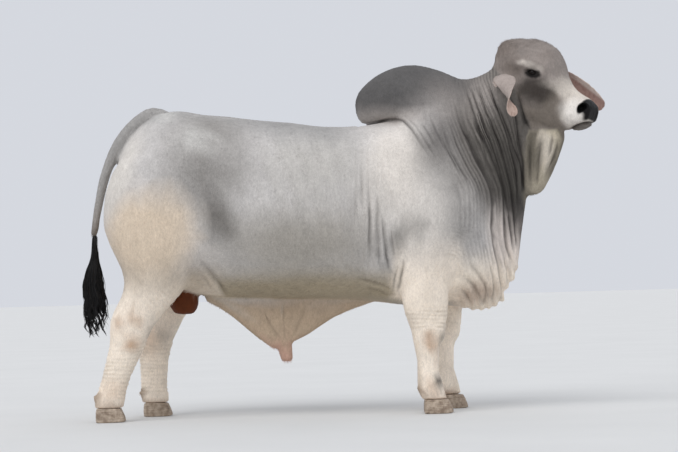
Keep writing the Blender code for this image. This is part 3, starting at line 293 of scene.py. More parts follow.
def fold_relief(points):
    """How far the folds lift the skin at each point, and how much painted shadow lies in them, 0 to 1.
    """
    rise, dark = np.zeros(len(points)), np.zeros(len(points))
    left = points[:, 1] > 0
    waver = 0.010 * cloud(points, 0.22, 3)
    shifted = points[:, 0] + 0.0025 * cloud(points, 0.045, 4) + np.where(left, waver, 0)
    flat = np.stack([shifted, points[:, 2]], axis=1)
    outer = ramp(np.abs(points[:, 1]), 0.0, 0.03)
    for line, wide, deep, fade_in, fade_out in NECK_FOLDS + fine_folds() + OTHER_FOLDS:
        line = curved(line, 4)
        low, high = line.min(0) - 5 * wide, line.max(0) + 5 * wide
        near = np.nonzero(np.all((flat > low) & (flat < high), axis=1))[0]
        far, place = along(flat[near], line)
        fade = ramp(place, 0, fade_in) * (1 - ramp(place, 1 - fade_out, 1))
        fade = fade * (0.85 + 0.3 * cloud(points[near], 0.08, 6))
        valley = 1.28 * np.exp(-1.25 * np.sqrt((far / wide) ** 2 + 0.04))
        lips = np.exp(-((np.abs(far) - 2.1 * wide) / (1.2 * wide)) ** 2)
        rise[near] += deep * fade * (LIP_SHARE * lips - valley)
        # Painted shadow of the fold, darkest along its bottom.
        strength = min(1.0, deep / 0.0065)
        shadow = np.exp(-(np.abs(far) / (0.68 * wide)) ** 1.6)
        dark[near] = np.maximum(dark[near], strength * fade * outer[near] * shadow)
    x, z = points[:, 0], points[:, 2]
    soft = 1 - 0.55 * (1 - ramp(z, 0.58, 0.80)) * (x > 0.46)
    soft = soft * np.where(x < 0.46, 1 - 0.35 * (1 - ramp(z, 1.10, 1.20)), 1)
    return rise, np.clip(dark * soft, 0, 1)


def ellipse(flat, centre, radii, lean=0.0, soft=0.6):
    """1 inside a soft-edged ellipse of a side view and 0 outside. Lean turns it, in degrees."""
    c, s = math.cos(math.radians(lean)), math.sin(math.radians(lean))
    u, v = (flat - np.array(centre)).T
    far = np.hypot((u * c + v * s) / radii[0], (v * c - u * s) / radii[1])
    return 1 - ramp(far, 1 - soft, 1 + soft)


def fold_count(flat):
    """How many neck folds lie behind each side-view point, with the share of the way to the next."""
    x, z = flat.T
    lines = [curved(line) for line, *_ in NECK_FOLDS[:7]]
    edges = [np.interp(-z, -line[:, 1], line[:, 0]) for line in lines]
    edges = [edges[0] - 0.17, edges[0] - 0.10, edges[0] - 0.05] + edges
    edges.append(edges[-1] + 0.05)
    edges = np.maximum.accumulate(np.array(edges), axis=0)
    gaps = np.maximum(np.diff(edges, axis=0), 0.006)
    return sum(np.clip((x - edge) / gap, 0, 1) for edge, gap in zip(edges, gaps))


def neck_grain(points):
    """Fine upright lines of the folded neck: a wave from -1 to 1, and where it shows, 0 to 1."""
    x, _, z = points.T
    forward = head_frame(points)[:, 0]
    flat = np.stack([x + 0.004 * cloud(points, 0.07, 33), z], axis=1)
    wave = np.cos(fold_count(flat) * FULL_TURN * 3)
    shown = ramp(x, 0.42, 0.58) * ramp(z, 0.52, 0.66) * (1 - ramp(x, 0.84, 0.86))
    shown = shown * (1 - ramp(forward, -0.04, 0.02))
    return wave, shown * (0.65 + 0.35 * cloud(points, 0.09, 34))


def shank_wrinkles(points):
    """Level wrinkles of the hind shanks and the fore knees: a wave from -1 to 1, and where it shows."""
    x, _, z = points.T
    level = z + 0.006 * cloud(points, 0.05, 14) + 0.05 * (x - np.where(x > 0, 0.36, -1.0))
    hind = (x < -0.5) * (1 - ramp(z, 0.34, 0.42)) * ramp(z, 0.08, 0.12)
    knee = (x > 0.1) * ramp(z, 0.36, 0.41) * (1 - ramp(z, 0.47, 0.52))
    shown = np.clip(hind + knee, 0, 1) * (0.7 + 0.4 * cloud(points, 0.06, 15))
    return waves(level, SHANK_WRINKLES), shown


# The lumps of the near hock: x and z, and size.
HOCK_LUMPS = (((-1.070, 0.465), 0.030), ((-0.991, 0.472), 0.032), ((-1.008, 0.361), 0.034))


def wrinkle_relief(points):
    """Fine wrinkles, ribs and the lie of the muscles."""
    x, y, z = points.T
    flat = points[:, [0, 2]]
    outer = ramp(np.abs(y), 0.06, 0.14)
    rise = np.zeros(len(points))
    # Arched wrinkles at the point of the shoulder.
    off = np.hypot(x - 0.453, z - 0.654) + 0.006 * cloud(points, 0.05, 11)
    shown = ellipse(flat, (0.535, 0.790), (0.085, 0.090))
    rise += 0.0022 * waves(off, SHOULDER_WRINKLES) * shown * outer
    # Fine upright wrinkles on the girth.
    wave = x + 0.012 * cloud(points, 0.10, 12)
    rise += 0.0017 * waves(wave, GIRTH_WRINKLES) * ellipse(flat, (0.09, 0.93), (0.13, 0.30)) * outer
    # Ribs.
    slant = x + 0.36 * (z - 1.1) + 0.010 * cloud(points, 0.2, 13)
    rise += 0.0028 * waves(slant, RIBS) * ellipse(flat, (-0.22, 1.08), (0.24, 0.22)) * outer
    wave, shown = shank_wrinkles(points)
    rise += 0.0020 * wave * shown
    # The hock's lumps, and loose skin above it.
    for middle, size in HOCK_LUMPS:
        rise += 0.0055 * (y < 0) * outer * np.exp(-((flat - middle) ** 2).sum(1) / size ** 2)
    thigh = 0.7 * (x + z) + 0.008 * cloud(points, 0.05, 36)
    rise += 0.0018 * waves(thigh, THIGH_WRINKLES) * ellipse(flat, (-0.870, 0.565), (0.085, 0.050))
    wave, shown = neck_grain(points)
    rise += 0.0016 * wave * shown
    # Loose skin over the whole trunk.
    trunk = ramp(z, 0.45, 0.60) * (1 - ramp(head_frame(points)[:, 0], -0.10, -0.02))
    rise += trunk * (0.0022 * cloud(points, 0.16, 16) + 0.0010 * cloud(points, 0.06, 17))
    head = ramp(head_frame(points)[:, 0], -0.04, 0.04) * ramp(z, 1.27, 1.30)
    rise += head * (0.0014 * cloud(points, 0.035, 19) + 0.0006 * cloud(points, 0.014, 20))
    forward, _, up = head_frame(points).T
    rise -= 0.0050 * np.exp(-((forward - 0.095) / 0.022) ** 2) * ramp(up, 1.70, 1.73)
    # The hanging skin's wavy lower edge.
    edge = ellipse(flat, (0.64, 0.52), (0.12, 0.06)) + ellipse(flat, (0.76, 0.62), (0.06, 0.09))
    rise += 0.0050 * edge * waves(x + 0.3 * z + 0.01 * cloud(points, 0.08, 18), EDGE_WAVES)
    return rise


def eye_axes():
    """The ways that the eye looks, that its opening is long, and that its lids part."""
    out = EYE_OUT / np.linalg.norm(EYE_OUT)
    long = EYE_ALONG - out * (EYE_ALONG @ out)
    long /= np.linalg.norm(long)
    up = np.cross(long, out)
    return out, long, up if up[2] > 0 else -up


def lid_place(framed, sign):
    """Each point's distance outside the lids' edge, its way from the eye's middle, and its height."""
    out, long, up = eye_axes()
    off = framed * (1, sign, 1) - EYE
    u, v, w = off @ long, off @ up, off @ out
    high = np.where(v > 0, LID_HIGH, LID_LOW)
    shape = (np.abs(u) / LID_LONG) ** LID_POWER + (np.abs(v) / high) ** LID_POWER
    shape = shape ** (1 / LID_POWER)
    edge = np.hypot(u, v) * (1 - 1 / np.maximum(shape, 0.05))
    return edge, off, u, v, w


def open_eyes(framed):
    """Wraps the skin over the eyeballs as lids, and tucks it behind them in the opening."""
    for sign in (-1, 1):
        edge, off, _, v, w = lid_place(framed, sign)
        far = np.linalg.norm(off, axis=1)
        near = (far < 0.060) & (w > 0.002)
        s, way = edge[near], off[near] / far[near, None]
        reach = EYE_RADIUS - 0.006 + (LID_THICK + 0.006) * ramp(s, -0.0014, 0.0004)
        upper, lower = v[near] > 0, v[near] <= 0
        crease = -0.0030 * np.exp(-((s - 0.0085) / 0.0018) ** 2) * upper
        crease -= 0.0016 * np.exp(-((s - 0.0140) / 0.0020) ** 2) * upper
        crease -= 0.0013 * np.exp(-((s - 0.0065) / 0.0014) ** 2) * lower
        crease -= 0.0012 * np.exp(-((s - 0.0115) / 0.0018) ** 2) * lower
        crease += 0.0012 * np.exp(-((s - 0.0016) / 0.0014) ** 2)
        keep = ramp(s, 0.003, 0.018)
        far_new = reach * (1 - keep) + far[near] * keep + crease * (1 - ramp(s, 0.016, 0.022))
        moved = EYE + way * far_new[:, None]
        framed[near] = moved * (1, sign, 1)
    return framed


def nostril_shape(framed, sign):
    """0 in the middle of a nostril, 1 at its rim, with the way it opens."""
    opens = np.array((0.55, 0.80, 0.10))
    opens /= np.linalg.norm(opens)
    long = np.array((0.62, -0.45, 0.62))
    long -= opens * (long @ opens)
    long /= np.linalg.norm(long)
    across = np.cross(opens, long)
    off = framed * (1, sign, 1) - NOSTRIL
    u, v, w = off @ long, off @ across, off @ opens
    bend = v - 0.22 * u ** 2 / 0.027
    return np.hypot(u / 0.0270, bend / 0.0150), w, opens


def open_nose(framed):
    """Deepens the nostrils and rounds their wings."""
    for sign in (-1, 1):
        shape, w, opens = nostril_shape(framed, sign)
        near = np.abs(w) < 0.030
        amount = -0.012 * (1 - ramp(shape, 0.35, 1.05)) + 0.0028 * np.exp(-((shape - 1.25) / 0.22) ** 2)
        framed += (amount * near)[:, None] * opens * (1, sign, 1)
    return framed


def mouth_far(framed):
    """How far each place of the head's frame lies from the line of the mouth."""
    return np.abs(along(framed[:, [0, 2]], MOUTH)[0])


# How far forward the face begins behind the jaw, and the pale muzzle in front of the cheek, by height.
JAW_UP = [1.27, 1.30, 1.36, 1.45, 1.50, 1.56, 1.62]
JAW_FORWARD = [0.135, 0.124, 0.111, 0.092, 0.080, 0.015, -0.05]
PALE_UP = [1.33, 1.362, 1.395, 1.429, 1.462, 1.495, 1.528, 1.56, 1.60]
PALE_FORWARD = [0.300, 0.275, 0.285, 0.295, 0.282, 0.252, 0.222, 0.300, 0.345]

# Colours as the eye sees them, 0 to 255. The crease shade is painted shadow in folds and wrinkles.
SHADES = {
    "neck_front": (112, 108, 105), "throat_back": (104, 98, 88), "far_ear_shaded": (152, 124, 115),
    "barrel": (198, 194, 191), "barrel_low": (158, 152, 143), "ridge": (183, 179, 173),
    "back": (153, 151, 149), "belly_tan_and_shadow": (157, 140, 107), "shoulder": (207, 201, 194),
    "shoulder_white": (223, 215, 206), "patch": (114, 110, 105), "hip": (162, 158, 154),
    "hip_light": (207, 205, 200), "cream": (213, 195, 173), "white": (211, 205, 197),
    "thigh": (184, 169, 150), "leg": (241, 228, 212), "stain": (184, 150, 121),
    "mottle": (138, 132, 126), "hump": (94, 92, 91), "hump_light": (168, 160, 154),
    "neck": (108, 103, 98), "neck_dark": (78, 75, 70), "streak": (172, 164, 158),
    "dewlap": (218, 207, 199), "brisket": (246, 233, 216), "brisket_fold": (150, 120, 100),
    "edge_dark": (46, 44, 42), "throat": (200, 189, 169), "throat_pale": (214, 204, 190),
    "face": (147, 138, 132), "poll": (120, 110, 103), "brow": (192, 183, 174), "eye_dark": (18, 16, 15),
    "under_eye": (68, 62, 58), "cheek": (64, 59, 55), "bridge": (208, 199, 188),
    "muzzle": (228, 222, 215), "jaw": (128, 119, 110), "nose": (10, 9, 10), "pad": (23, 21, 22),
    "lip": (58, 50, 46), "ear": (166, 154, 147), "ear_inner": (178, 156, 144),
    "ear_inner_dark": (112, 82, 72), "ear_rim": (220, 204, 194), "tail": (160, 157, 154),
    "tail_low": (122, 113, 105), "sheath": (186, 165, 142), "sheath_tip": (195, 158, 140),
    "scrotum": (92, 47, 24), "horn": (150, 128, 108), "crease": (30, 27, 26),
}

# Markings: shade, place in side view, half lengths, lean in degrees, softness of the edge, and
# strength. First those of the quarters.
QUARTER_MARKS = (
    ("hip", (-0.65, 1.20), (0.22, 0.23), 0, 0.5, 0.9),
    ("patch", (-0.683, 1.146), (0.070, 0.110), -15, 0.8, 0.55),
    ("patch", (-0.610, 1.350), (0.085, 0.045), -10, 0.8, 0.45),
    ("patch", (-0.526, 1.113), (0.055, 0.075), 0, 0.8, 0.35),
    ("hip_light", (-0.701, 1.299), (0.050, 0.052), 0, 0.8, 0.7),
    ("patch", (-0.590, 0.930), (0.072, 0.120), 22, 0.62, 0.95),
    ("cream", (-0.920, 0.860), (0.215, 0.195), 25, 0.35, 0.95),
    ("white", (-1.055, 1.146), (0.060, 0.210), -24, 0.6, 0.85),
    ("hip_light", (-0.849, 1.450), (0.050, 0.050), 0, 0.8, 0.8),
)
# Markings of the shoulder, with painted shade behind the elbow.
SHOULDER_MARKS = (
    ("shoulder", (0.330, 1.040), (0.200, 0.290), 8, 0.45, 0.95),
    ("shoulder_white", (0.227, 1.176), (0.120, 0.180), 0, 0.6, 0.75),
    # Painted shade under the shoulder's curve, behind the elbow.
    ("patch", (0.275, 0.842), (0.080, 0.034), 26, 0.7, 0.80),
    ("patch", (0.212, 0.800), (0.034, 0.040), 0, 0.8, 0.40),
    ("patch", (0.536, 0.820), (0.090, 0.090), 0, 0.9, 0.30),
    ("hip", (0.535, 0.985), (0.085, 0.130), 20, 0.9, 0.70),
    ("shoulder_white", (0.430, 0.745), (0.095, 0.085), 0, 0.7, 0.80),
    ("shoulder", (0.115, 1.000), (0.070, 0.150), 0, 0.8, 0.70),
)
# Stains and dark marks of the legs, each with the side of the body that has it.
LEG_MARKS = (
    ("right", "stain", (-1.070, 0.465), (0.022, 0.026), 0, 0.7, 0.60),
    ("right", "stain", (-0.991, 0.472), (0.028, 0.028), 0, 0.8, 0.60),
    ("right", "stain", (-1.008, 0.361), (0.027, 0.029), 0, 0.7, 0.90),
    ("right", "mottle", (-0.928, 0.405), (0.026, 0.050), 0, 0.8, 0.45),
    ("left", "stain", (-0.975, 0.372), (0.050, 0.070), 0, 0.8, 0.45),
    ("left", "mottle", (-0.905, 0.400), (0.035, 0.060), 10, 0.8, 0.55),
    ("right", "stain", (0.366, 0.342), (0.030, 0.042), 0, 0.6, 1.00),
    ("right", "edge_dark", (0.424, 0.350), (0.010, 0.042), -16, 0.7, 0.75),
    ("left", "edge_dark", (0.516, 0.325), (0.012, 0.036), -10, 0.7, 0.65),
    ("right", "edge_dark", (0.402, 0.140), (0.023, 0.034), 0, 0.5, 0.85),
    ("right", "stain", (0.358, 0.127), (0.020, 0.022), 0, 0.8, 0.55),
    ("left", "mottle", (0.512, 0.150), (0.014, 0.040), 0, 0.8, 0.50),
    ("right", "stain", (-1.115, 0.140), (0.060, 0.050), 0, 0.9, 0.35),
)
# Markings of the neck.
NECK_MARKS = (
    ("neck_dark", (0.690, 1.190), (0.085, 0.200), 22, 0.8, 0.75),
    ("neck_dark", (0.790, 1.060), (0.060, 0.120), 0, 0.8, 0.70),
    ("streak", (0.640, 1.470), (0.080, 0.090), 0, 0.8, 0.65),
    ("hip", (0.455, 1.130), (0.090, 0.110), -30, 0.9, 0.60),
    ("neck_dark", (0.635, 1.020), (0.035, 0.080), 0, 0.8, 0.50),
    ("neck_front", (0.440, 1.290), (0.080, 0.150), -26, 0.85, 0.90),
)
# Markings of the face, placed forward and up in the head's frame.
FACE_MARKS = (
    ("cheek", (0.160, 1.487), (0.086, 0.062), -12, 0.55, 0.92),
    ("face", (0.130, 1.440), (0.060, 0.030), -20, 0.9, 0.30),
    ("under_eye", (0.185, 1.500), (0.062, 0.046), -30, 0.6, 0.9),
    ("brow", (0.136, 1.620), (0.046, 0.014), -12, 0.6, 0.95),
    ("brow", (0.196, 1.590), (0.018, 0.018), -40, 0.7, 0.60),
)


def paint(name):
    """A named shade made linear."""
    share = np.array(SHADES[name]) / 255
    return ((share + 0.055) / 1.055) ** 2.4


def coat_colours(points, normals, dark, ear_side):
    """The bull's markings and painted light and shade at each point, and how wet, bare and
    crease-shadowed it is.
    """
    x, y, z = points.T
    side = np.abs(y)
    jitter = np.stack([0.014 * cloud(points, 0.06, 21) + 0.006 * cloud(points, 0.02, 22),
                       0.014 * cloud(points, 0.06, 23) + 0.006 * cloud(points, 0.02, 24)], axis=1)
    flat = points[:, [0, 2]] + jitter
    fx, fz = flat.T
    framed = head_frame(points)
    forward, aside, up = framed.T
    forward, up = forward + jitter[:, 0] * 0.6, up + jitter[:, 1] * 0.6
    colour = np.tile(paint("barrel"), (len(points), 1))
    hide = np.zeros((len(points), 3))

    def lay(name, mask):
        nonlocal colour
        mask = np.clip(mask, 0, 1)[:, None]
        colour = colour * (1 - mask) + paint(name) * mask

    def spot(name, centre, radii, lean=0, soft=0.6, strength=1.0, where=1.0):
        lay(name, strength * where * ellipse(flat, centre, radii, lean, soft))

    def spots(rows):
        for row in rows:
            spot(*row)

    trunk = ramp(z, 0.46, 0.56)
    spot("barrel_low", (-0.22, 0.80), (0.34, 0.15), 0, 0.7, 0.9)
    girth = waves(fx + 0.012 * cloud(points, 0.10, 12), GIRTH_WRINKLES)
    # Painted shade in the troughs of the girth's wrinkles.
    lay("barrel_low", 0.5 * ramp(-girth, 0.3, 1.0) * ellipse(flat, (0.09, 1.02), (0.10, 0.28)))
    spot("ridge", (-0.14, 1.18), (0.20, 0.16), 0, 0.7, 0.8)
    # Painted light and shade of the ribs: the ridge shade is laid in step with their relief.
    slant = fx + 0.36 * (fz - 1.1)
    ribs = (0.5 + 0.5 * waves(slant, RIBS)) * ellipse(flat, (-0.22, 1.10), (0.24, 0.20))
    lay("ridge", 0.45 * ribs)
    lay("back", 0.8 * ramp(normals[:, 2], 0.50, 0.92) * ramp(-x, -0.1, 0.1))
    # Skin facing down low on the trunk is tan, partly its own colour and partly painted shadow under the
    # belly.
    lay("belly_tan_and_shadow", 0.75 * ramp(-normals[:, 2], 0.15, 0.85) * (1 - ramp(z, 0.62, 0.72)) * trunk)

    spots(QUARTER_MARKS)
    lay("thigh", 0.85 * (1 - ramp(fz, 0.62, 0.80)) * ramp(-fx, 0.55, 0.68))

    spots(SHOULDER_MARKS)

    leg = 1 - ramp(fz, 0.50, 0.72)
    lay("leg", leg * ((fx < -0.60) & (side > 0.05)))
    fore = ramp(fx, 0.18, 0.22) * (1 - ramp(fx, 0.50, 0.56)) * ramp(side, 0.08, 0.12)
    lay("leg", (1 - ramp(fz, 0.62, 0.84)) * fore)
    right = y < 0
    for half, *row in LEG_MARKS:
        spot(*row, right if half == "right" else ~right)
    wave, shown = shank_wrinkles(points)
    # Painted shade in the troughs of the shank and knee wrinkles, in the belly's tan.
    lay("belly_tan_and_shadow", 0.30 * shown * ramp(-wave, 0.3, 1.0))
    lay("horn", 0.85 * (1 - ramp(dewclaw_far(points), 1.0, 1.35)))
    lay("stain", 0.5 * (1 - ramp(z, 0.068, 0.085)))

    front = ramp(fx, 0.40, 0.56)
    neck = front * ramp(fz, 0.98, 1.16)
    lay("neck", neck)
    lay("neck", ramp(fx, 0.56, 0.70) * ramp(fz, 0.80, 1.02))
    spots(NECK_MARKS)
    wave, shown = neck_grain(points)
    # Painted light on the crests and painted shade in the troughs of the neck's fine wrinkles.
    lay("streak", 0.34 * shown * ramp(wave, 0.1, 1.0) * ramp(fz, 0.9, 1.0))
    lay("crease", 0.70 * shown * ramp(-wave, 0.70, 1.0))
    hump = ramp(fz - 1.372 - 0.18 * np.maximum(fx - 0.30, 0), 0.0, 0.09) * (1 - ramp(fx, 0.50, 0.66))
    hump = hump * ramp(fx, 0.02, 0.05)
    low_hump = ramp(fz, 1.345, 1.39) * (1 - ramp(fx, 0.30, 0.50)) * ramp(fx, 0.04, 0.08)
    lay("hump_light", 0.85 * low_hump)
    lay("hump", hump)
    spot("hump_light", (0.470, 1.470), (0.090, 0.080), -30, 0.9, 0.45)

    low = (1 - ramp(fz, 0.86, 1.00)) * ramp(fx, 0.62, 0.70)
    lay("dewlap", low)
    lay("brisket", (1 - ramp(fz, 0.60, 0.78)) * ramp(fx, 0.46, 0.54))
    spot("brisket_fold", (0.600, 0.550), (0.095, 0.050), 20, 0.9, 0.62)
    # Painted shade in the troughs of the dewlap's wrinkles.
    lay("crease", 0.66 * low * shown * ramp(-wave, 0.2, 1.0))
    low_edge = ramp(fx, 0.790, 0.835) * ramp(fz, 0.66, 0.76)
    edge = np.maximum(low_edge, ramp(fx, 0.720, 0.785) * ramp(fz, 0.78, 0.90))
    lay("edge_dark", 0.85 * edge * (1 - ramp(fz, 0.97, 1.02)))

    flap_x = fx - 0.10 * np.maximum(fz - 1.15, 0)
    flap = ramp(flap_x, 0.832, 0.852) * (1 - ramp(fz, 1.29, 1.33)) * ramp(fz, 0.97, 1.0)
    flap = flap * (forward < 0.27)
    lay("throat", flap)
    # The flap's back part is grey-brown, partly its own colour and partly painted shade where it tucks
    # against the neck.
    lay("throat_back", 0.92 * flap * (1 - ramp(flap_x, 0.885, 0.935) * ramp(fz, 1.02, 1.16)))
    spot("throat_pale", (0.948, 1.215), (0.026, 0.095), 8, 0.7, 0.9, flap)
    spot("throat", (0.905, 1.060), (0.050, 0.035), 0, 0.8, 0.6, flap)
    # Painted shade down the valley of the flap's fold.
    spot("throat_back", (1.000, 1.190), (0.018, 0.110), -14, 0.9, 0.50, flap)
    valley = np.abs(along(flat, [(1.016, 1.300), (1.006, 1.220), (0.983, 1.150), (0.948, 1.080)])[0])
    lay("throat_back", 0.85 * flap * np.exp(-(valley / 0.014) ** 2))

    jaw = np.interp(up, JAW_UP, JAW_FORWARD)
    face = np.maximum(ramp(fz, 1.30, 1.33), ramp(forward, 0.24, 0.27))
    face = ramp(forward - jaw, -0.012, 0.012) * face
    ears = ear_side != 0
    lay("face", face * ~ears)
    head_flat = np.stack([forward, up], axis=1)
    mottled = 0.5 + 0.5 * cloud(points, 0.030, 26)

    def mark(name, centre, radii, lean=0, soft=0.7, strength=1.0):
        lay(name, strength * face * ~ears * ellipse(head_flat, centre, radii, lean, soft))

    mark("poll", (-0.01, 1.715), (0.080, 0.055), 0, 0.8, 0.85)
    mark("poll", (0.060, 1.600), (0.070, 0.050), 0, 0.8, 0.80)
    lay("poll", 0.45 * mottled * face * ~ears * ramp(up, 1.56, 1.66))
    lay("jaw", face * ~ears * (1 - ramp(up, 1.47, 1.54)) * (1 - ramp(forward, 0.26, 0.30)))
    for row in FACE_MARKS:
        mark(*row)
    top = ramp(0.085 - np.abs(aside), 0.0, 0.05)
    fade = 0.022 + 0.040 * ramp(up, 1.47, 1.53)
    pale = ramp((forward - np.interp(up, PALE_UP, PALE_FORWARD)) / fade, -1, 1)
    pale = pale * (1 - 0.90 * ramp(up + 0.10 * np.abs(aside), 1.480, 1.600))
    lay("bridge", face * ~ears * pale * (0.7 + 0.3 * top))
    mark("muzzle", (0.345, 1.380), (0.065, 0.055), -10, 0.6, 0.95)

    tone = 0.050 * cloud(points, 0.10, 51) + 0.060 * cloud(points, 0.035, 52)
    tone = tone + 0.055 * cloud(points, 0.013, 53)
    colour = colour * (1 + tone)[:, None]
    pad = np.linalg.norm((framed - NOSE_PAD) / NOSE_PAD_RADII, axis=1)
    front_lip = ramp(forward, 0.370, 0.396) * ramp(up, 1.335, 1.345) * (1 - ramp(up, 1.40, 1.42))
    pad = np.maximum(1 - ramp(pad + 0.03 * cloud(points, 0.02, 27), 0.93, 1.02), front_lip)
    lay("pad", pad)
    hide[:, 0] = pad
    for sign in (-1, 1):
        shape, w, _ = nostril_shape(framed, sign)
        # Painted shade inside the nostrils, darker than the pad.
        hollow = (1 - ramp(shape, 1.0, 1.5)) * (np.abs(w) < 0.035)
        lay("nose", hollow)
        hide[:, 0] = np.maximum(hide[:, 0], hollow)
        edge, off, u, v, w = lid_place(framed, sign)
        near = ramp(0.070 - np.linalg.norm(off, axis=1), 0, 0.01) * (w > 0)
        over = np.hypot((u - 0.003) / 0.046, (v + 0.002) / np.where(v > 0, 0.0225, 0.027))
        # A dark almond round each eye: dark skin, widened with painted shadow under the brow.
        lay("eye_dark", 0.95 * near * (1 - ramp(over + 0.06 * cloud(points, 0.008, 28), 0.72, 1.08)))
        lay("eye_dark", near * (1 - ramp(edge, 0.003, 0.006)))
        hide[:, 1] = np.maximum(hide[:, 1], 0.4 * near * (1 - ramp(edge, 0.002, 0.006)))
    # Dark lip skin along the mouth, with painted shade in its groove.
    lip = face * np.exp(-(mouth_far(framed) / 0.0060) ** 2) * (forward > 0.275)
    lay("lip", 0.95 * lip)
    mouth_z = np.interp(forward, *zip(*MOUTH[::-1]))
    lay("lip", 0.78 * face * ramp(forward, 0.30, 0.34) * ramp(mouth_z - up, 0.000, 0.006))

    tail_here = (side < 0.042) & (x < -0.80) & tail_near(points)
    shade = ramp(1.10 - fz, 0, 0.28)
    lay("tail", tail_here * (1 - shade))
    lay("tail_low", tail_here * shade)

    sheath_here = (side < 0.06) & (fz < 0.60) & (fx < 0.2) & (fx > -0.69)
    lay("sheath", sheath_here * (1 - ramp(fz, 0.50, 0.59)))
    lay("sheath_tip", sheath_here * (1 - ramp(fz, 0.32, 0.37)))
    hide[:, 1] = np.maximum(hide[:, 1], 0.6 * sheath_here * (1 - ramp(fz, 0.30, 0.34)))
    pouch = (side < 0.092) & (x < -0.70) & (x > -0.875) & (z < 0.735) & scrotum_near(points)
    lay("scrotum", pouch)
    hide[:, 1] = np.maximum(hide[:, 1], 0.8 * pouch)

    lay("ear", ears)
    inner = ears * ramp(ear_side, -0.1, 0.35)
    lay("ear_inner", inner)
    far_ear = ears & (y > 0)
    # Painted shade: the far ear's open side is darker than the near ear's, and darkest in its hollow at
    # the root.
    lay("far_ear_shaded", inner * far_ear)
    lay("ear_inner_dark", 0.90 * inner * far_ear * (1 - ramp(x, 1.00, 1.12)))
    streaks = cloud(points * (1, 1, 0.22), 0.007, 35)
    lay("ear_inner_dark", 0.40 * inner * ramp(streaks, 0.0, 0.8))
    spine = along(points[:, [0, 2]], FAR_EAR_LINE)[0]
    # Pale hair on the far ear's rim, with a painted highlight.
    lay("ear_rim", 0.75 * far_ear * ramp(np.abs(spine), 0.026, 0.040) * ramp(x, 1.05, 1.17))
    # Painted shade in the near ear's hollow towards its root.
    lay("ear_inner_dark", 0.45 * inner * ~far_ear * ramp(z, 1.44, 1.50))
    # Pale hair along the ears' rims, with a painted highlight.
    lay("ear_rim", ears * 0.8 * np.exp(-(ear_side / 0.32) ** 2))
    hide[:, 1] = np.maximum(hide[:, 1], 0.35 * inner)

    # Painted shadow along the folds' bottoms; the third channel of Hide keeps it.
    lay("crease", 0.92 * dark)
    hide[:, 2] = dark
    return colour, hide


# The middle of each pair of dewclaws, their half sizes, and how far each lies to the side of it.
DEWCLAWS = (
    (-1.186, -0.205, 0.114), (-1.011, 0.205, 0.114), (0.315, -0.205, 0.119), (0.407, 0.205, 0.119),
)
DEWCLAW_RADII = (0.0185, 0.0155, 0.0225)
DEWCLAW_ASIDE = 0.026


def dewclaw_far(points):
    """Distance to the nearest dewclaw, 1 at its skin."""
    best = np.full(len(points), 9.0)
    for pair in DEWCLAWS:
        for aside in (-DEWCLAW_ASIDE, DEWCLAW_ASIDE):
            off = (points - np.array(pair) - (0, aside, 0)) / DEWCLAW_RADII
            best = np.minimum(best, np.linalg.norm(off, axis=1))
    return best


def near_node(points, node, reach):
    """Which points lie within reach of a solid."""
    low, high = (np.array(corner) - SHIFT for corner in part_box(node))
    inside = np.nonzero(np.all((points > low - reach) & (points < high + reach), axis=1))[0]
    found = np.zeros(len(points), bool)
    for index in inside:
        hit = NEAR[node].find_nearest(Vector(points[index] + SHIFT), reach)
        found[index] = hit[0] is not None
    return found


def tail_near(points):
    """Which points are the tail's."""
    return near_node(points, "tail", 0.008)


def scrotum_near(points):
    """Which points are the scrotum's."""
    return near_node(points, "scrotum", 0.008)


# The way each ear's open side faces, at places along it.
EAR_FACES = {
    "ear_right": [
        ((0.733, -0.135, 1.568), (0.45, 0.00, -0.85)), ((0.737, -0.200, 1.562), (0.25, 0.20, -0.92)),
        ((0.745, -0.252, 1.548), (0.15, 0.60, -0.75)), ((0.751, -0.290, 1.518), (0.35, 0.88, -0.40)),
        ((0.753, -0.318, 1.482), (0.75, 0.62, -0.15)), ((0.754, -0.340, 1.448), (0.98, 0.05, 0.00)),
        ((0.758, -0.360, 1.416), (0.75, -0.65, 0.00)), ((0.763, -0.376, 1.386), (0.45, -0.88, 0.00)),
        ((0.767, -0.392, 1.348), (0.38, -0.92, 0.00)),
    ],
    "ear_left": [
        ((0.888, 0.138, 1.612), (0.30, -0.70, -0.60)), ((0.960, 0.182, 1.608), (0.15, -0.85, -0.50)),
        ((1.040, 0.210, 1.582), (0.05, -0.95, -0.35)), ((1.115, 0.222, 1.543), (0.00, -0.97, -0.25)),
        ((1.266, 0.218, 1.425), (0.00, -0.98, -0.10)),
    ],
}
FAR_EAR_LINE = [(place[0], place[2]) for place, _ in EAR_FACES["ear_left"]]
EAR_TIPS = np.array([(0.767, -0.392, 1.348), (1.266, 0.218, 1.425)])


def ear_sides(points, normals):
    """0 off the ears, towards 1 on their open side, towards -1 on their back, small at the rims."""
    side = np.zeros(len(points))
    for node, faces in EAR_FACES.items():
        here = near_node(points, node, 0.0075)
        here &= np.abs(head_frame(points)[:, 1]) > 0.128
        places = np.array([place for place, _ in faces])
        ways = unit(np.array([way for _, way in faces]))
        index = np.nonzero(here)[0]
        off = np.linalg.norm(points[index, None] - places[None], axis=2)
        weight = 1 / (off + 0.004) ** 4
        way = unit((weight[:, :, None] * ways[None]).sum(1))
        facing = (normals[index] * way).sum(1)
        side[index] = np.where(np.abs(facing) < 0.01, 0.01, facing)
    return side


def read(items, name, width, kind=np.float32):
    """One property of all of a mesh's items, a row for each item."""
    flat = np.empty(len(items) * width, kind)
    items.foreach_get(name, flat)
    return flat.reshape(-1, width)


def corners_of(mesh):
    """The vertex at each corner of a mesh's faces, one after another."""
    return read(mesh.loops, "vertex_index", 1, np.int32)[:, 0]


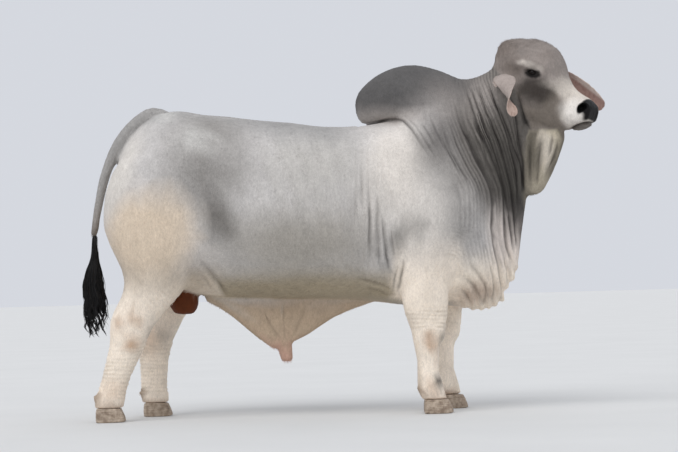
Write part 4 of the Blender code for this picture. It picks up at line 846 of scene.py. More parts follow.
def mesh_arrays(obj):
    """Places in the sculptor's frame, and normals, of an object's vertices."""
    vertices = obj.data.vertices
    return read(vertices, "co", 3).astype(float) - SHIFT, read(vertices, "normal", 3).astype(float)


def place(obj, points):
    """Moves an object's vertices to places in the sculptor's frame."""
    obj.data.vertices.foreach_set("co", (points + SHIFT).astype(np.float32).ravel())
    obj.data.update()


def only(obj):
    """Selects one object alone and makes it active."""
    bpy.ops.object.select_all(action="DESELECT")
    obj.select_set(True)
    bpy.context.view_layer.objects.active = obj


def applied(obj, modifier):
    """Applies a modifier."""
    only(obj)
    bpy.ops.object.modifier_apply(modifier=modifier.name)


def flesh_copy():
    """All the flesh as one mesh, grown a little so that its pieces overlap, the sockets filled."""
    bpy.ops.object.select_all(action="DESELECT")
    pieces = []
    for name in FLESH:
        piece = bpy.data.objects.new("flesh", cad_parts[name].data.copy())
        bpy.context.scene.collection.objects.link(piece)
        pieces.append(piece)
    for side in ("right", "left"):
        bpy.ops.mesh.primitive_uv_sphere_add(segments=48, ring_count=32, radius=EYE_RADIUS + 0.0035,
                                             location=middle_of("eye_" + side))
        pieces.append(bpy.context.object)
    bpy.ops.object.select_all(action="DESELECT")
    for piece in pieces:
        piece.select_set(True)
    bpy.context.view_layer.objects.active = pieces[0]
    bpy.ops.object.join()
    flesh = pieces[0]
    bpy.ops.object.mode_set(mode="EDIT")
    bpy.ops.mesh.select_all(action="SELECT")
    bpy.ops.mesh.remove_doubles(threshold=0.00001)
    bpy.ops.object.mode_set(mode="OBJECT")
    flesh.data.materials.clear()
    points, normals = mesh_arrays(flesh)
    place(flesh, points + normals * FLESH_GROWTH)
    return flesh


def calm_weights(points):
    """How much of the long smoothing each point takes."""
    x, y, z = points.T
    forward = head_frame(points)[:, 0]
    body = ramp(z, 0.50, 0.68) * (1 - ramp(forward, -0.14, -0.06))
    body *= 1 - ramp(x, 0.70, 0.80)
    crease = [(0.05, 1.36), (0.14, 1.368), (0.21, 1.372), (0.27, 1.350)]
    body *= 0.08 + 0.92 * ramp(np.abs(along(points[:, [0, 2]], crease)[0]), 0.012, 0.06)
    thin = (np.abs(y) < 0.075) & (z < 0.64)
    body[thin] *= 0.1
    weight = np.maximum(body, 0.10)
    head = ramp(forward, -0.10, 0.0) * ramp(z, 1.26, 1.32)
    weight = weight * (1 - head) + 0.030 * head
    pad = np.linalg.norm((head_frame(points) - NOSE_PAD) / NOSE_PAD_RADII, axis=1)
    weight = np.maximum(weight, 0.10 * (pad < 1.15))
    weight[scrotum_near(points)] = 0.30
    weight[tail_near(points)] = 0.004
    return weight


def calmed(points, edges, weights, rounds, regain=0.0):
    """Eases each point towards the mean of its neighbours, as much as its weight says.

    Each round can push back by a share of its pull, which keeps thin forms from shrinking.
    """
    used = np.nonzero((weights[edges[:, 0]] > 0) | (weights[edges[:, 1]] > 0))[0]
    kept, numbered = np.unique(edges[used], return_inverse=True)
    first, second = numbered.reshape(-1, 2).T
    near = points[kept]
    count = len(kept)
    degree = np.bincount(first, minlength=count) + np.bincount(second, minlength=count)
    pull = 0.5 * weights[kept] / degree
    for turn in range(rounds * (2 if regain else 1)):
        amount = -regain * pull if regain and turn % 2 else pull
        for axis in range(3):
            values = near[:, axis]
            total = np.bincount(first, values[second], count) + np.bincount(second, values[first], count)
            near[:, axis] = values + amount * (total - degree * values)
    points[kept] = near
    return points


def edges_of(obj):
    """The two vertices of each edge."""
    return read(obj.data.edges, "vertices", 2, np.int32)


def refine(obj, wanted):
    """Splits each face whose corners are all wanted into four."""
    points, _ = mesh_arrays(obj)
    chosen = wanted(points)
    mesh = obj.data
    mesh.vertices.foreach_set("select", chosen)
    mesh.edges.foreach_set("select", np.zeros(len(mesh.edges), bool))
    starts = read(mesh.polygons, "loop_start", 1, np.int32)[:, 0]
    mesh.polygons.foreach_set("select", np.logical_and.reduceat(chosen[corners_of(mesh)], starts))
    only(obj)
    bpy.ops.object.mode_set(mode="EDIT")
    bpy.ops.mesh.select_mode(type="FACE")
    bpy.ops.mesh.subdivide(number_cuts=1)
    bpy.ops.object.mode_set(mode="OBJECT")


def in_head(points):
    """The head, without the skin that hangs from it."""
    forward, _, z = head_frame(points).T
    return (forward > -0.08) & (z > 1.27)


def in_folds(points):
    """The head, the neck with its hanging skin, and the creased girth."""
    x, _, z = points.T
    neck = (x > 0.44) & (z > 0.47)
    girth = (x > 0.07) & (x < 0.26) & (z > 0.52) & (z < 1.12)
    return in_head(points) | neck | girth


def in_fine(points):
    """The lids, the nostrils and the mouth."""
    framed = head_frame(points)
    near = np.linalg.norm(on_left(framed) - EYE, axis=1) < 0.052
    near |= np.linalg.norm(on_left(framed) - NOSTRIL, axis=1) < 0.045
    return near | ((mouth_far(framed) < 0.016) & (framed[:, 0] > 0.27))


def in_lids(points, reach=0.040):
    """The eyes' surroundings, out to a reach."""
    return np.linalg.norm(on_left(head_frame(points)) - EYE, axis=1) < reach


def smooth_zone(obj, wanted, rounds):
    """Eases the wanted part of a mesh."""
    points, _ = mesh_arrays(obj)
    place(obj, calmed(points, edges_of(obj), wanted(points).astype(float), rounds))


def settled(obj):
    """Relaxes the corners of folded-over slivers that thinning leaves."""
    corners = corners_of(obj.data).reshape(-1, 3)
    edges = edges_of(obj)
    points, _ = mesh_arrays(obj)
    for _ in range(12):
        a, b, c = (points[corners[:, corner]] for corner in range(3))
        cross = np.cross(b - a, c - a)
        total = np.zeros_like(points)
        for corner in range(3):
            for axis in range(3):
                total[:, axis] += np.bincount(corners[:, corner], cross[:, axis], len(points))
        bad = (unit(cross)[:, None] * unit(total)[corners]).sum(2).min(1) < 0.35
        weights = np.zeros(len(points))
        weights[corners[bad].ravel()] = 1.0
        points = calmed(points, edges, weights, 2)
    place(obj, points)


def write_colour(mesh, name, values):
    """Stores a colour for each vertex."""
    layer = mesh.attributes.get(name) or mesh.color_attributes.new(name, "FLOAT_COLOR", "POINT")
    rgba = np.ones((len(values), 4), np.float32)
    rgba[:, :3] = values
    layer.data.foreach_set("color", rgba.ravel())


def grow_skin():
    """The skin: one mesh over all the flesh, with its folds, lids, nostrils, mouth, markings and painted
    light and shade.
    """
    skin = flesh_copy()
    skin.name = "skin"
    skin.data.name = "skin"
    remesh = skin.modifiers.new("grow", "REMESH")
    remesh.mode = "VOXEL"
    remesh.voxel_size = VOXEL
    remesh.adaptivity = 0.0
    applied(skin, remesh)
    points, _ = mesh_arrays(skin)
    place(skin, calmed(points, edges_of(skin), calm_weights(points), BODY_ROUNDS))
    points, normals = mesh_arrays(skin)
    ears = (ear_sides(points, normals) != 0).astype(float)
    thin = np.maximum(ears, tail_near(points))
    points = calmed(points, edges_of(skin), thin, EAR_ROUNDS, EAR_REGAIN)
    tips = np.min([np.linalg.norm(points - tip, axis=1) for tip in EAR_TIPS], axis=0)
    points = calmed(points, edges_of(skin), ears * (1 - ramp(tips, 0.02, 0.045)), TIP_ROUNDS)
    place(skin, points)
    points, normals = mesh_arrays(skin)
    place(skin, points - normals * (EAR_THINNER * ears)[:, None])

    refine(skin, in_folds)
    smooth_zone(skin, in_folds, 4)
    refine(skin, in_fine)
    refine(skin, in_lids)
    smooth_zone(skin, in_fine, 6)

    points, normals = mesh_arrays(skin)
    sides = ear_sides(points, normals)
    rise, dark = fold_relief(points)
    rise[sides != 0] = 0
    dark[sides != 0] = 0
    rise += wrinkle_relief(points) * (sides == 0)
    framed = head_frame(points)
    lips = mouth_far(framed)
    muzzle = ramp(framed[:, 0], 0.285, 0.305) * ramp(framed[:, 2], 1.28, 1.30)
    lip_swell = 0.0020 * np.exp(-((lips - 0.008) / 0.004) ** 2)
    rise += muzzle * (lip_swell - 0.0050 * np.exp(-(lips / 0.0028) ** 2))
    colour, hide = coat_colours(points, normals, dark, sides)
    # Coat holds the markings with the painted light and shade; Hide holds wetness, bareness and the
    # painted crease shadow.
    write_colour(skin.data, "Coat", colour)
    write_colour(skin.data, "Hide", hide)
    framed = head_frame(points + normals * rise[:, None])
    head = ramp(framed[:, 0], -0.02, 0.02) > 0.5
    shaped = open_nose(open_eyes(framed.copy()))
    points = points + normals * rise[:, None]
    points[head] = from_head(shaped)[head]
    place(skin, points)
    thin_out(skin, SKIN_TRIANGLES)
    settled(skin)
    skin.data.shade_smooth()
    only(skin)
    bpy.ops.object.mode_set(mode="EDIT")
    bpy.ops.mesh.select_all(action="SELECT")
    bpy.ops.uv.smart_project(angle_limit=math.radians(66), island_margin=0.001)
    bpy.ops.object.mode_set(mode="OBJECT")
    skin.data.uv_layers[0].name = "OFBake"
    return skin


def thin_out(obj, triangles):
    """Brings the mesh down to a number of triangles, least where the form is finest."""
    points, _ = mesh_arrays(obj)
    count = sum(len(face.vertices) - 2 for face in obj.data.polygons)
    group = obj.vertex_groups.new(name="plain")
    fine = in_lids(points, 0.034)
    head = in_head(points) & ~fine
    group.add(np.nonzero(~fine & ~head)[0].tolist(), 1.0, "REPLACE")
    group.add(np.nonzero(head)[0].tolist(), 0.9, "REPLACE")
    fewer = obj.modifiers.new("thin", "DECIMATE")
    fewer.ratio = triangles / count
    fewer.use_collapse_triangulate = True
    fewer.vertex_group = group.name
    applied(obj, fewer)
    obj.vertex_groups.clear()


def link(tree, source, target):
    """Joins two sockets."""
    tree.links.new(source, target)


def new_material(name):
    """A new material with its node tree and its shader."""
    made = bpy.data.materials.new(name)
    made.use_nodes = True
    tree = made.node_tree
    return made, tree, tree.nodes["Principled BSDF"]


def noise(tree, scale, detail=3.0, stretch=(1, 1, 1), roughness=0.55):
    """A noise pattern on the model's own coordinates."""
    where = tree.nodes.new("ShaderNodeTexCoord")
    turn = tree.nodes.new("ShaderNodeMapping")
    turn.inputs["Scale"].default_value = stretch
    made = tree.nodes.new("ShaderNodeTexNoise")
    made.inputs["Scale"].default_value = scale
    made.inputs["Detail"].default_value = detail
    made.inputs["Roughness"].default_value = roughness
    link(tree, where.outputs["Object"], turn.inputs["Vector"])
    link(tree, turn.outputs["Vector"], made.inputs["Vector"])
    return made.outputs["Fac"]


def spread(tree, value, low, high, start=0.3, end=0.7):
    """A value mapped from start and end to low and high."""
    made = tree.nodes.new("ShaderNodeMapRange")
    made.inputs["From Min"].default_value = start
    made.inputs["From Max"].default_value = end
    made.inputs["To Min"].default_value = low
    made.inputs["To Max"].default_value = high
    link(tree, value, made.inputs["Value"])
    return made.outputs["Result"]


def sums(tree, operation, first, second):
    """Two values joined by a sum, each a number or a socket."""
    made = tree.nodes.new("ShaderNodeMath")
    made.operation = operation
    for socket, value in zip(made.inputs, (first, second)):
        if isinstance(value, float):
            socket.default_value = value
        else:
            link(tree, value, socket)
    return made.outputs["Value"]


def scaled_colour(tree, colour, factor):
    """A colour made lighter or darker by a value."""
    made = tree.nodes.new("ShaderNodeVectorMath")
    made.operation = "SCALE"
    link(tree, colour, made.inputs[0])
    link(tree, factor, made.inputs["Scale"])
    return made.outputs["Vector"]


def attribute(tree, name):
    """A colour stored on the mesh."""
    made = tree.nodes.new("ShaderNodeAttribute")
    made.attribute_name = name
    return made.outputs["Color"]


def bumped(tree, shader, height, strength, distance):
    """Gives a shader relief from a height pattern."""
    made = tree.nodes.new("ShaderNodeBump")
    made.inputs["Strength"].default_value = strength
    made.inputs["Distance"].default_value = distance
    link(tree, height, made.inputs["Height"])
    link(tree, made.outputs["Normal"], shader.inputs["Normal"])


def hide_material():
    """Short hair over skin: speckled, matt, with the lie of the hair as bump; smooth where bare."""
    made, tree, shader = new_material("hide")
    split = tree.nodes.new("ShaderNodeSeparateColor")
    link(tree, attribute(tree, "Hide"), split.inputs["Color"])
    wet, bare, _ = split.outputs
    hair = noise(tree, 330, 3.0, (1, 1, 0.30), 0.65)
    flecks = noise(tree, 95, 4.0, (1, 1, 0.45), 0.6)
    mottle = noise(tree, 16, 5.0, (1, 1, 0.8), 0.6)
    shade = sums(tree, "MULTIPLY", spread(tree, hair, 0.86, 1.12), spread(tree, flecks, 0.90, 1.09))
    shade = sums(tree, "MULTIPLY", shade, spread(tree, mottle, 0.93, 1.06))
    hairless = sums(tree, "SUBTRACT", 1.0, wet)
    link(tree, scaled_colour(tree, attribute(tree, "Coat"), shade), shader.inputs["Base Color"])
    gloss = sums(tree, "ADD", sums(tree, "MULTIPLY", wet, -0.22), sums(tree, "MULTIPLY", bare, -0.22))
    rough = sums(tree, "ADD", gloss, spread(tree, flecks, 0.72, 0.88))
    link(tree, rough, shader.inputs["Roughness"])
    pores = tree.nodes.new("ShaderNodeTexVoronoi")
    pores.inputs["Scale"].default_value = 240
    where = tree.nodes.new("ShaderNodeTexCoord")
    link(tree, where.outputs["Object"], pores.inputs["Vector"])
    hairy = sums(tree, "ADD", hair, sums(tree, "MULTIPLY", flecks, 0.8))
    hairy = sums(tree, "MULTIPLY", hairy, hairless)
    pebbled = sums(tree, "MULTIPLY", pores.outputs["Distance"], wet)
    height = sums(tree, "SUBTRACT", hairy, sums(tree, "MULTIPLY", pebbled, 0.4))
    bumped(tree, shader, height, 0.35, 0.0022)
    shader.inputs["Specular IOR Level"].default_value = 0.11
    return made


def hair_material(name, gloss):
    """Hair coloured by each tuft's own shade, with fine streaks."""
    made, tree, shader = new_material(name)
    streaks = noise(tree, 420, 2.0, (1, 1, 0.25), 0.5)
    shade = spread(tree, streaks, 0.82, 1.15)
    link(tree, scaled_colour(tree, attribute(tree, "Coat"), shade), shader.inputs["Base Color"])
    link(tree, spread(tree, streaks, gloss - 0.06, gloss + 0.08), shader.inputs["Roughness"])
    shader.inputs["Specular IOR Level"].default_value = 0.35
    return made


def eye_material():
    """A dark, wet eye."""
    made, tree, shader = new_material("eye")
    link(tree, attribute(tree, "Coat"), shader.inputs["Base Color"])
    link(tree, spread(tree, noise(tree, 180), 0.05, 0.09), shader.inputs["Roughness"])
    shader.inputs["Coat Weight"].default_value = 0.10
    shader.inputs["Specular IOR Level"].default_value = 0.15
    shader.inputs["Coat Roughness"].default_value = 0.03
    return made


def horn_material():
    """Worn hoof horn: level growth bands, with patchy stains."""
    made, tree, shader = new_material("horn")
    bands = noise(tree, 14, 3.0, (1, 1, 14), 0.6)
    grime = noise(tree, 45, 4.0, (1, 1, 1), 0.6)
    mix = tree.nodes.new("ShaderNodeMix")
    mix.data_type = "RGBA"
    mix.inputs["A"].default_value = (0.23, 0.165, 0.115, 1)
    mix.inputs["B"].default_value = (0.50, 0.405, 0.315, 1)
    link(tree, spread(tree, grime, 0.0, 1.0, 0.35, 0.65), mix.inputs["Factor"])
    shade = spread(tree, bands, 0.78, 1.12)
    link(tree, scaled_colour(tree, mix.outputs["Result"], shade), shader.inputs["Base Color"])
    link(tree, spread(tree, grime, 0.50, 0.75), shader.inputs["Roughness"])
    bumped(tree, shader, sums(tree, "ADD", bands, sums(tree, "MULTIPLY", grime, 0.4)), 0.5, 0.0022)
    return made


def plain_material(name, colour, roughness):
    """One colour with a faint mottle."""
    made, tree, shader = new_material(name)
    mottle = spread(tree, noise(tree, 1.2, 2.0), 0.98, 1.02)
    base = tree.nodes.new("ShaderNodeRGB")
    base.outputs[0].default_value = (*colour, 1)
    link(tree, scaled_colour(tree, base.outputs[0], mottle), shader.inputs["Base Color"])
    shader.inputs["Roughness"].default_value = roughness
    return made


def set_material(obj, made):
    """Gives an object one material."""
    obj.data.materials.clear()
    obj.data.materials.append(made)


def make_eyes():
    """Two glossy dark eyes with an oblong pupil lying level."""
    out, long, up = eye_axes()
    for sign, side in ((-1, "right"), (1, "left")):
        bpy.ops.object.select_all(action="DESELECT")
        bpy.ops.mesh.primitive_uv_sphere_add(segments=64, ring_count=40, radius=EYE_RADIUS,
                                             location=middle_of("eye_" + side))
        eye = bpy.context.object
        eye.name = eye.data.name = "eyeball_" + side
        bpy.ops.object.transform_apply(location=True, rotation=True, scale=True)
        points, _ = mesh_arrays(eye)
        framed = head_frame(points) * (1, sign, 1)
        way = (framed - EYE) / EYE_RADIUS
        w, u, v = way @ out, way @ long, way @ up
        cornea = ramp(w, 0.80, 0.97)
        framed = framed + way * (0.0008 * cornea)[:, None]
        place(eye, from_head(framed * (1, sign, 1)))
        pupil = 1 - ramp(np.hypot(u / 0.34, v / 0.17), 0.85, 1.1)
        iris = 1 - ramp(np.hypot(u, v), 0.52, 0.60)
        colour = np.array((0.014, 0.010, 0.009)) * (1 - iris)[:, None]
        colour = colour + np.array((0.010, 0.005, 0.003)) * iris[:, None]
        colour = colour * (1 - 0.92 * pupil)[:, None]
        write_colour(eye.data, "Coat", colour)
        eye.data.shade_smooth()
        set_material(eye, eye_material())
        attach(eye, "root")
        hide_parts("eye_" + side)


def make_hooves():
    """Each claw of the solids, rounded, with growth rings and a worn edge."""
    horn = horn_material()
    for name in CLAWS:
        claw = bpy.data.objects.new(name.replace("claw", "hoof"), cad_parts[name].data.copy())
        bpy.context.scene.collection.objects.link(claw)
        claw.data.name = claw.name
        only(claw)
        bpy.ops.object.mode_set(mode="EDIT")
        bpy.ops.mesh.select_all(action="SELECT")
        bpy.ops.mesh.remove_doubles(threshold=0.00001)
        bpy.ops.object.mode_set(mode="OBJECT")
        round_off = claw.modifiers.new("round", "SUBSURF")
        round_off.levels = 3
        round_off.render_levels = 3
        applied(claw, round_off)
        points, normals = mesh_arrays(claw)
        z = points[:, 2]
        rings = 0.0007 * waves(z, HOOF_RINGS) + 0.0006 * cloud(points, 0.012, 31)
        wall = ramp(z, 0.004, 0.010) * (1 - ramp(z, 0.058, 0.064))
        place(claw, points + normals * ((rings - 0.0008) * wall)[:, None])
        claw.data.shade_smooth()
        set_material(claw, horn)
        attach(claw, "root")
        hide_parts(name)


def surface_of(obj):
    """Each triangle corner's place, normal, colour, hide and place in the unwrap."""
    mesh = obj.data
    corners = corners_of(mesh).reshape(-1, 3)
    points, normals = mesh_arrays(obj)
    coat, hide = (read(mesh.attributes[name].data, "color", 4)[corners, :3].astype(float)
                  for name in ("Coat", "Hide"))
    unwrap = read(mesh.uv_layers[0].data, "uv", 2).reshape(-1, 3, 2).astype(float)
    return points[corners], normals[corners], coat, hide, unwrap


def coat_growth(points, normals):
    """How many tufts grow to a square metre, their length, width and lift, at each point."""
    x, y, z = points.T
    forward, _, up = head_frame(points).T
    sides = ear_sides(points, normals)
    ears = sides != 0
    growth = np.tile((12500.0, 0.0130, 0.0015, 0.0005), (len(points), 1))

    def grow(mask, density, long, wide, lift):
        nonlocal growth
        mask = np.clip(mask, 0, 1)[:, None]
        growth = growth * (1 - mask) + np.array((density, long, wide, lift)) * mask

    grow(1 - ramp(z, 0.42, 0.60), 15000, 0.0100, 0.0013, 0.0006)
    grow(1 - ramp(z, 0.10, 0.16), 19000, 0.0080, 0.0011, 0.0008)
    grow(ramp(x, 0.44, 0.60) * ramp(z, 0.46, 0.50), 14000, 0.0110, 0.0012, 0.0006)
    under = ramp(-normals[:, 2], 0.1, 0.7) * ramp(z, 0.46, 0.50) * (1 - ramp(z, 0.66, 0.74))
    grow(under, 10000, 0.0200, 0.0016, 0.0022)
    cannon = (1 - ramp(z, 0.40, 0.50)) * ramp(-normals[:, 0], 0.3, 0.8)
    grow(0.8 * cannon, 13000, 0.0150, 0.0014, 0.0018)
    head = head_share(points)
    grow(head, 32000, 0.0065, 0.0008, 0.0004)
    grow(head * ramp(up, 1.64, 1.70), 20000, 0.0135, 0.0011, 0.0022)
    grow(head * ramp(up, 1.705, 1.725), 26000, 0.0180, 0.0011, 0.0040)
    flap = ramp(forward, 0.03, 0.07) * (1 - ramp(z, 1.28, 1.32)) * ramp(z, 0.93, 0.97)
    grow(flap, 18000, 0.0105, 0.0010, 0.0006)
    grow(flap * (1 - ramp(z, 1.00, 1.05)), 22000, 0.0200, 0.0012, 0.0018)
    brisket = ramp(x, 0.60, 0.64) * (1 - ramp(z, 0.50, 0.60)) * ramp(z, 0.44, 0.46)
    grow(brisket, 15000, 0.0170, 0.0013, 0.0020)
    grow(ears, 26000, 0.0075, 0.0007, 0.0005)
    grow(ears * np.exp(-(sides / 0.30) ** 2), 30000, 0.0110, 0.0008, 0.0016)
    tail_here = (np.abs(y) < 0.05) & (x < -0.80) & tail_near(points)
    grow(tail_here, 22000, 0.0130, 0.0013, 0.0010)
    grow(tail_here * (1 - ramp(z, 0.86, 0.94)), 30000, 0.0260, 0.0014, 0.0016)
    tip = (np.abs(y) < 0.06) & (z < 0.33) & (z > 0.2) & (x > -0.40) & (x < -0.20)
    grow(tip, 26000, 0.0240, 0.0012, 0.0030)
    pouch = (z < 0.735) & (x < -0.70) & (x > -0.875) & scrotum_near(points)
    grow(pouch, 3000, 0.0070, 0.0010, 0.0008)
    return growth, sides


def hair_lie(points, normals, ears):
    """The way the hair lies: back and down the body, down the neck and legs, down the face."""
    x, y, z = points.T
    forward, _, up = head_frame(points).T
    way = np.tile((-0.80, 0.0, -0.60), (len(points), 1))

    def turn(mask, direction):
        nonlocal way
        mask = np.clip(mask, 0, 1)[:, None]
        way = way * (1 - mask) + np.array(direction) * mask

    turn(ramp(x, 0.42, 0.60), (-0.22, 0.0, -0.97))
    turn(ramp(z, 1.36, 1.42) * (1 - ramp(x, 0.45, 0.60)) * ramp(x, 0.0, 0.05), (-0.95, 0.0, -0.25))
    turn(1 - ramp(z, 0.50, 0.66), (-0.12, 0.0, -0.99))
    head = head_share(points)
    c, s = math.cos(HEAD_TURN), math.sin(HEAD_TURN)
    turn(head, (-0.55 * c, 0.55 * s, -0.83))
    turn(head * ramp(forward - 0.6 * (1.55 - up), 0.14, 0.22), (0.35 * c, -0.35 * s, -0.93))
    for faces in EAR_FACES.values():
        root, tip = np.array(faces[0][0]), np.array(faces[-1][0])
        here = ears & ((y > 0) == (tip[1] > 0))
        turn(here * 1.0, unit(tip - root))
    way += 0.30 * np.stack([cloud(points, 0.13, seed) for seed in (41, 42, 43)], axis=1)
    way -= normals * (way * normals).sum(1)[:, None]
    return unit(way)


def hair_mesh(name, points, faces, colours, unwrap, made, slot, smooth=False):
    """A piece of hair from its points, triangles, corner colours and unwrap places."""
    mesh = bpy.data.meshes.new(name)
    mesh.vertices.add(len(points))
    mesh.vertices.foreach_set("co", (points + SHIFT).astype(np.float32).ravel())
    mesh.loops.add(faces.size)
    mesh.loops.foreach_set("vertex_index", faces.astype(np.int32).ravel())
    mesh.polygons.add(len(faces))
    mesh.polygons.foreach_set("loop_start", np.arange(0, faces.size, 3, dtype=np.int32))
    mesh.update(calc_edges=True)
    mesh.polygons.foreach_set("use_smooth", np.full(len(faces), smooth))
    layer = mesh.uv_layers.new(name="OFBake")
    layer.data.foreach_set("uv", np.clip(unwrap[faces.ravel()], 0, 1).astype(np.float32).ravel())
    write_colour(mesh, "Coat", colours)
    piece = bpy.data.objects.new(name, mesh)
    bpy.context.scene.collection.objects.link(piece)
    mesh.materials.append(made)
    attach(piece, "root")


# A tuft's three corners at its root, three at its middle and one at its tip, and their places in
# the patch of the unwrap that a tuft or strand gets at its root.
TUFT_FACES = np.array([
    (0, 2, 1), (0, 1, 4), (0, 4, 3), (1, 2, 5), (1, 5, 4),
    (2, 0, 3), (2, 3, 5), (3, 4, 6), (4, 5, 6), (5, 3, 6),
])
PATCH = 0.003
TUFT_SPREAD = np.array([(0, 0), (1, 0), (0.5, 0.3), (0.1, 0.6), (0.9, 0.6), (0.5, 0.7), (0.5, 1)])
TUFT_PATCH = PATCH * (TUFT_SPREAD - 0.5)


def tuft_arrays(roots, normals, ways, size, colours, unwrap, rng):
    """Thin tapered tufts of three sides, which leave the skin at their root and lie along it."""
    count = len(roots)
    long, wide, lift = size.T
    long = long * rng.uniform(0.7, 1.25, count)
    lift = lift * rng.uniform(0.5, 1.3, count)
    across = unit(np.cross(normals, ways))
    swing = rng.normal(0, 0.16, count)[:, None]
    ways = unit(ways + across * swing)
    across = unit(np.cross(normals, ways))
    bend = rng.normal(0, 0.10, count)

    def out(values):
        return values[:, None]

    root = roots - normals * 0.0010
    middle = roots + ways * out(0.55 * long) + normals * out(lift)
    tip = roots + ways * out(long) + normals * out(0.85 * lift) + across * out(bend * long)
    ring = [-across * out(0.5 * wide), across * out(0.5 * wide), normals * out(0.15 * wide)]
    places = [root + step for step in ring] + [middle + 0.8 * step for step in ring] + [tip]
    # Tufts are painted a little lighter than the skin under them, as light that makes up for their
    # shaded sides, and vary at random.
    shade = rng.normal(1.07, 0.05, count)
    along_tuft = np.array((0.97, 0.97, 0.97, 1.0, 1.0, 1.0, 1.04))
    tinted = colours[:, None] * (shade[:, None] * along_tuft[None])[:, :, None]
    faces = TUFT_FACES[None] + 7 * np.arange(count)[:, None, None]
    patches = unwrap[:, None] + TUFT_PATCH[None]
    return (np.stack(places, axis=1).reshape(-1, 3), faces.reshape(-1, 3),
            np.clip(tinted, 0, 1).reshape(-1, 3), patches.reshape(-1, 2))


# The most tufts that a piece of the coat holds, and the height under which only claws are.
COAT_LIMIT = 19000
CLAW_TOP = 0.070


def grow_coat(skin):
    """Short hair in tufts over the whole skin, in several pieces."""
    places, normals, coats, hides, unwraps = surface_of(skin)
    centres, facing = places.mean(1), unit(normals.mean(1))
    growth, sides = coat_growth(centres, facing)
    cross = np.cross(places[:, 1] - places[:, 0], places[:, 2] - places[:, 0])
    area = 0.5 * np.linalg.norm(cross, axis=1)
    # The third channel of Hide is the painted crease shadow; fewer tufts grow where it lies.
    wet, bare, crease = hides.mean(1).T
    wanted = area * growth[:, 0] * (1 - np.clip(2 * wet, 0, 1)) * (1 - 0.9 * bare) * (1 - 0.5 * crease)
    rng = np.random.default_rng(7)
    counts = np.floor(wanted + rng.random(len(wanted))).astype(int)
    owner = np.repeat(np.arange(len(counts)), counts)
    share = rng.dirichlet((1, 1, 1), len(owner))[:, :, None]
    roots = (places[owner] * share).sum(1)
    normal = unit((normals[owner] * share).sum(1))
    # Tufts take the colour of the skin under them, painted light and shade as well.
    colour = (coats[owner] * share).sum(1)
    unwrap = (unwraps[owner] * share).sum(1)
    hide = (hides[owner] * share).sum(1)
    keep = (hide[:, 0] < 0.25) & (hide[:, 1] < 0.6) & (hide[:, 2] < 0.07)
    keep &= roots[:, 2] > CLAW_TOP
    ways = hair_lie(roots, normal, sides[owner] != 0)
    x, z = roots[:, 0], roots[:, 2]
    forward = head_frame(roots)[:, 0]
    head = (forward > -0.04) & (z > 1.28)
    zones = (
        ("coat_head", head, "head_hide"),
        ("coat_neck", ~head & (x > 0.44) & (z > 0.46), "neck_hide"),
        ("coat_legs", ~head & (z < 0.52), "leg_hide"),
        ("coat_shoulder", ~head & (x > -0.02), "trunk_hide"),
        ("coat_barrel", ~head & (x > -0.48), "trunk_hide"),
        ("coat_quarters", ~head, "trunk_hide"),
    )
    made = hair_material("coat", 0.72)
    for name, mask, slot in zones:
        chosen = np.nonzero(keep & mask)[0]
        keep[chosen] = False
        parts = max(1, math.ceil(len(chosen) / COAT_LIMIT))
        for part in range(parts):
            index = chosen[part::parts]
            label = name if parts == 1 else f"{name}_{part + 1}"
            arrays = tuft_arrays(roots[index], normal[index], ways[index], growth[owner[index], 1:],
                                 colour[index], unwrap[index], rng)
            hair_mesh(label, *arrays, made, slot)


def strand_arrays(paths, radii, colours, unwrap):
    """Three-sided strands along paths, each path a row of places, with a radius at each place."""
    count, steps, _ = paths.shape
    run = np.gradient(paths, axis=1)
    across = unit(np.cross(run, np.array((0.31, 0.88, 0.36))))
    over = unit(np.cross(run, across))
    points = np.empty((count, 3 * (steps - 1) + 1, 3))
    for corner in range(3):
        angle = FULL_TURN * corner / 3
        ring = math.cos(angle) * across + math.sin(angle) * over
        points[:, corner:-1:3] = (paths + ring * radii[:, :, None])[:, :-1]
    points[:, -1] = paths[:, -1]
    faces = [(0, 2, 1)]
    for step in range(steps - 2):
        for corner in range(3):
            a, b = 3 * step + corner, 3 * step + (corner + 1) % 3
            faces += [(a, b, b + 3), (a, b + 3, a + 3)]
    last = 3 * (steps - 2)
    faces += [(last + corner, last + (corner + 1) % 3, last + 3) for corner in range(3)]
    size = points.shape[1]
    faces = np.array(faces)[None] + size * np.arange(count)[:, None, None]
    spread_out = PATCH * (np.stack([np.arange(size) % 3 / 2, np.arange(size) / size], axis=1) - 0.5)
    patches = unwrap[:, None] + spread_out[None]
    tinted = np.repeat(colours[:, None], size, axis=1)
    return points.reshape(-1, 3), faces.reshape(-1, 3), tinted.reshape(-1, 3), patches.reshape(-1, 2)


# The switch in side view: z, then x of its left and right edge.
SWITCH = np.array([
    (0.880, -1.210, -1.188), (0.830, -1.213, -1.190), (0.795, -1.216, -1.187),
    (0.748, -1.226, -1.184), (0.710, -1.241, -1.175), (0.663, -1.254, -1.168),
    (0.630, -1.259, -1.163), (0.600, -1.259, -1.160), (0.568, -1.256, -1.153),
    (0.521, -1.256, -1.151), (0.485, -1.258, -1.149), (0.440, -1.258, -1.148),
    (0.388, -1.250, -1.150),
])
SWITCH_LOCKS, LONG_LOCKS, SWITCH_STRANDS, SWITCH_STEPS = 46, 18, 1900, 14
SWITCH_END, SWITCH_REAR = 0.385, -1.2625


def switch_places(z):
    """Middle and half width of the switch at a height."""
    left = np.interp(-z, -SWITCH[:, 0], SWITCH[:, 1])
    right = np.interp(-z, -SWITCH[:, 0], SWITCH[:, 2])
    return 0.5 * (left + right), 0.5 * (right - left)


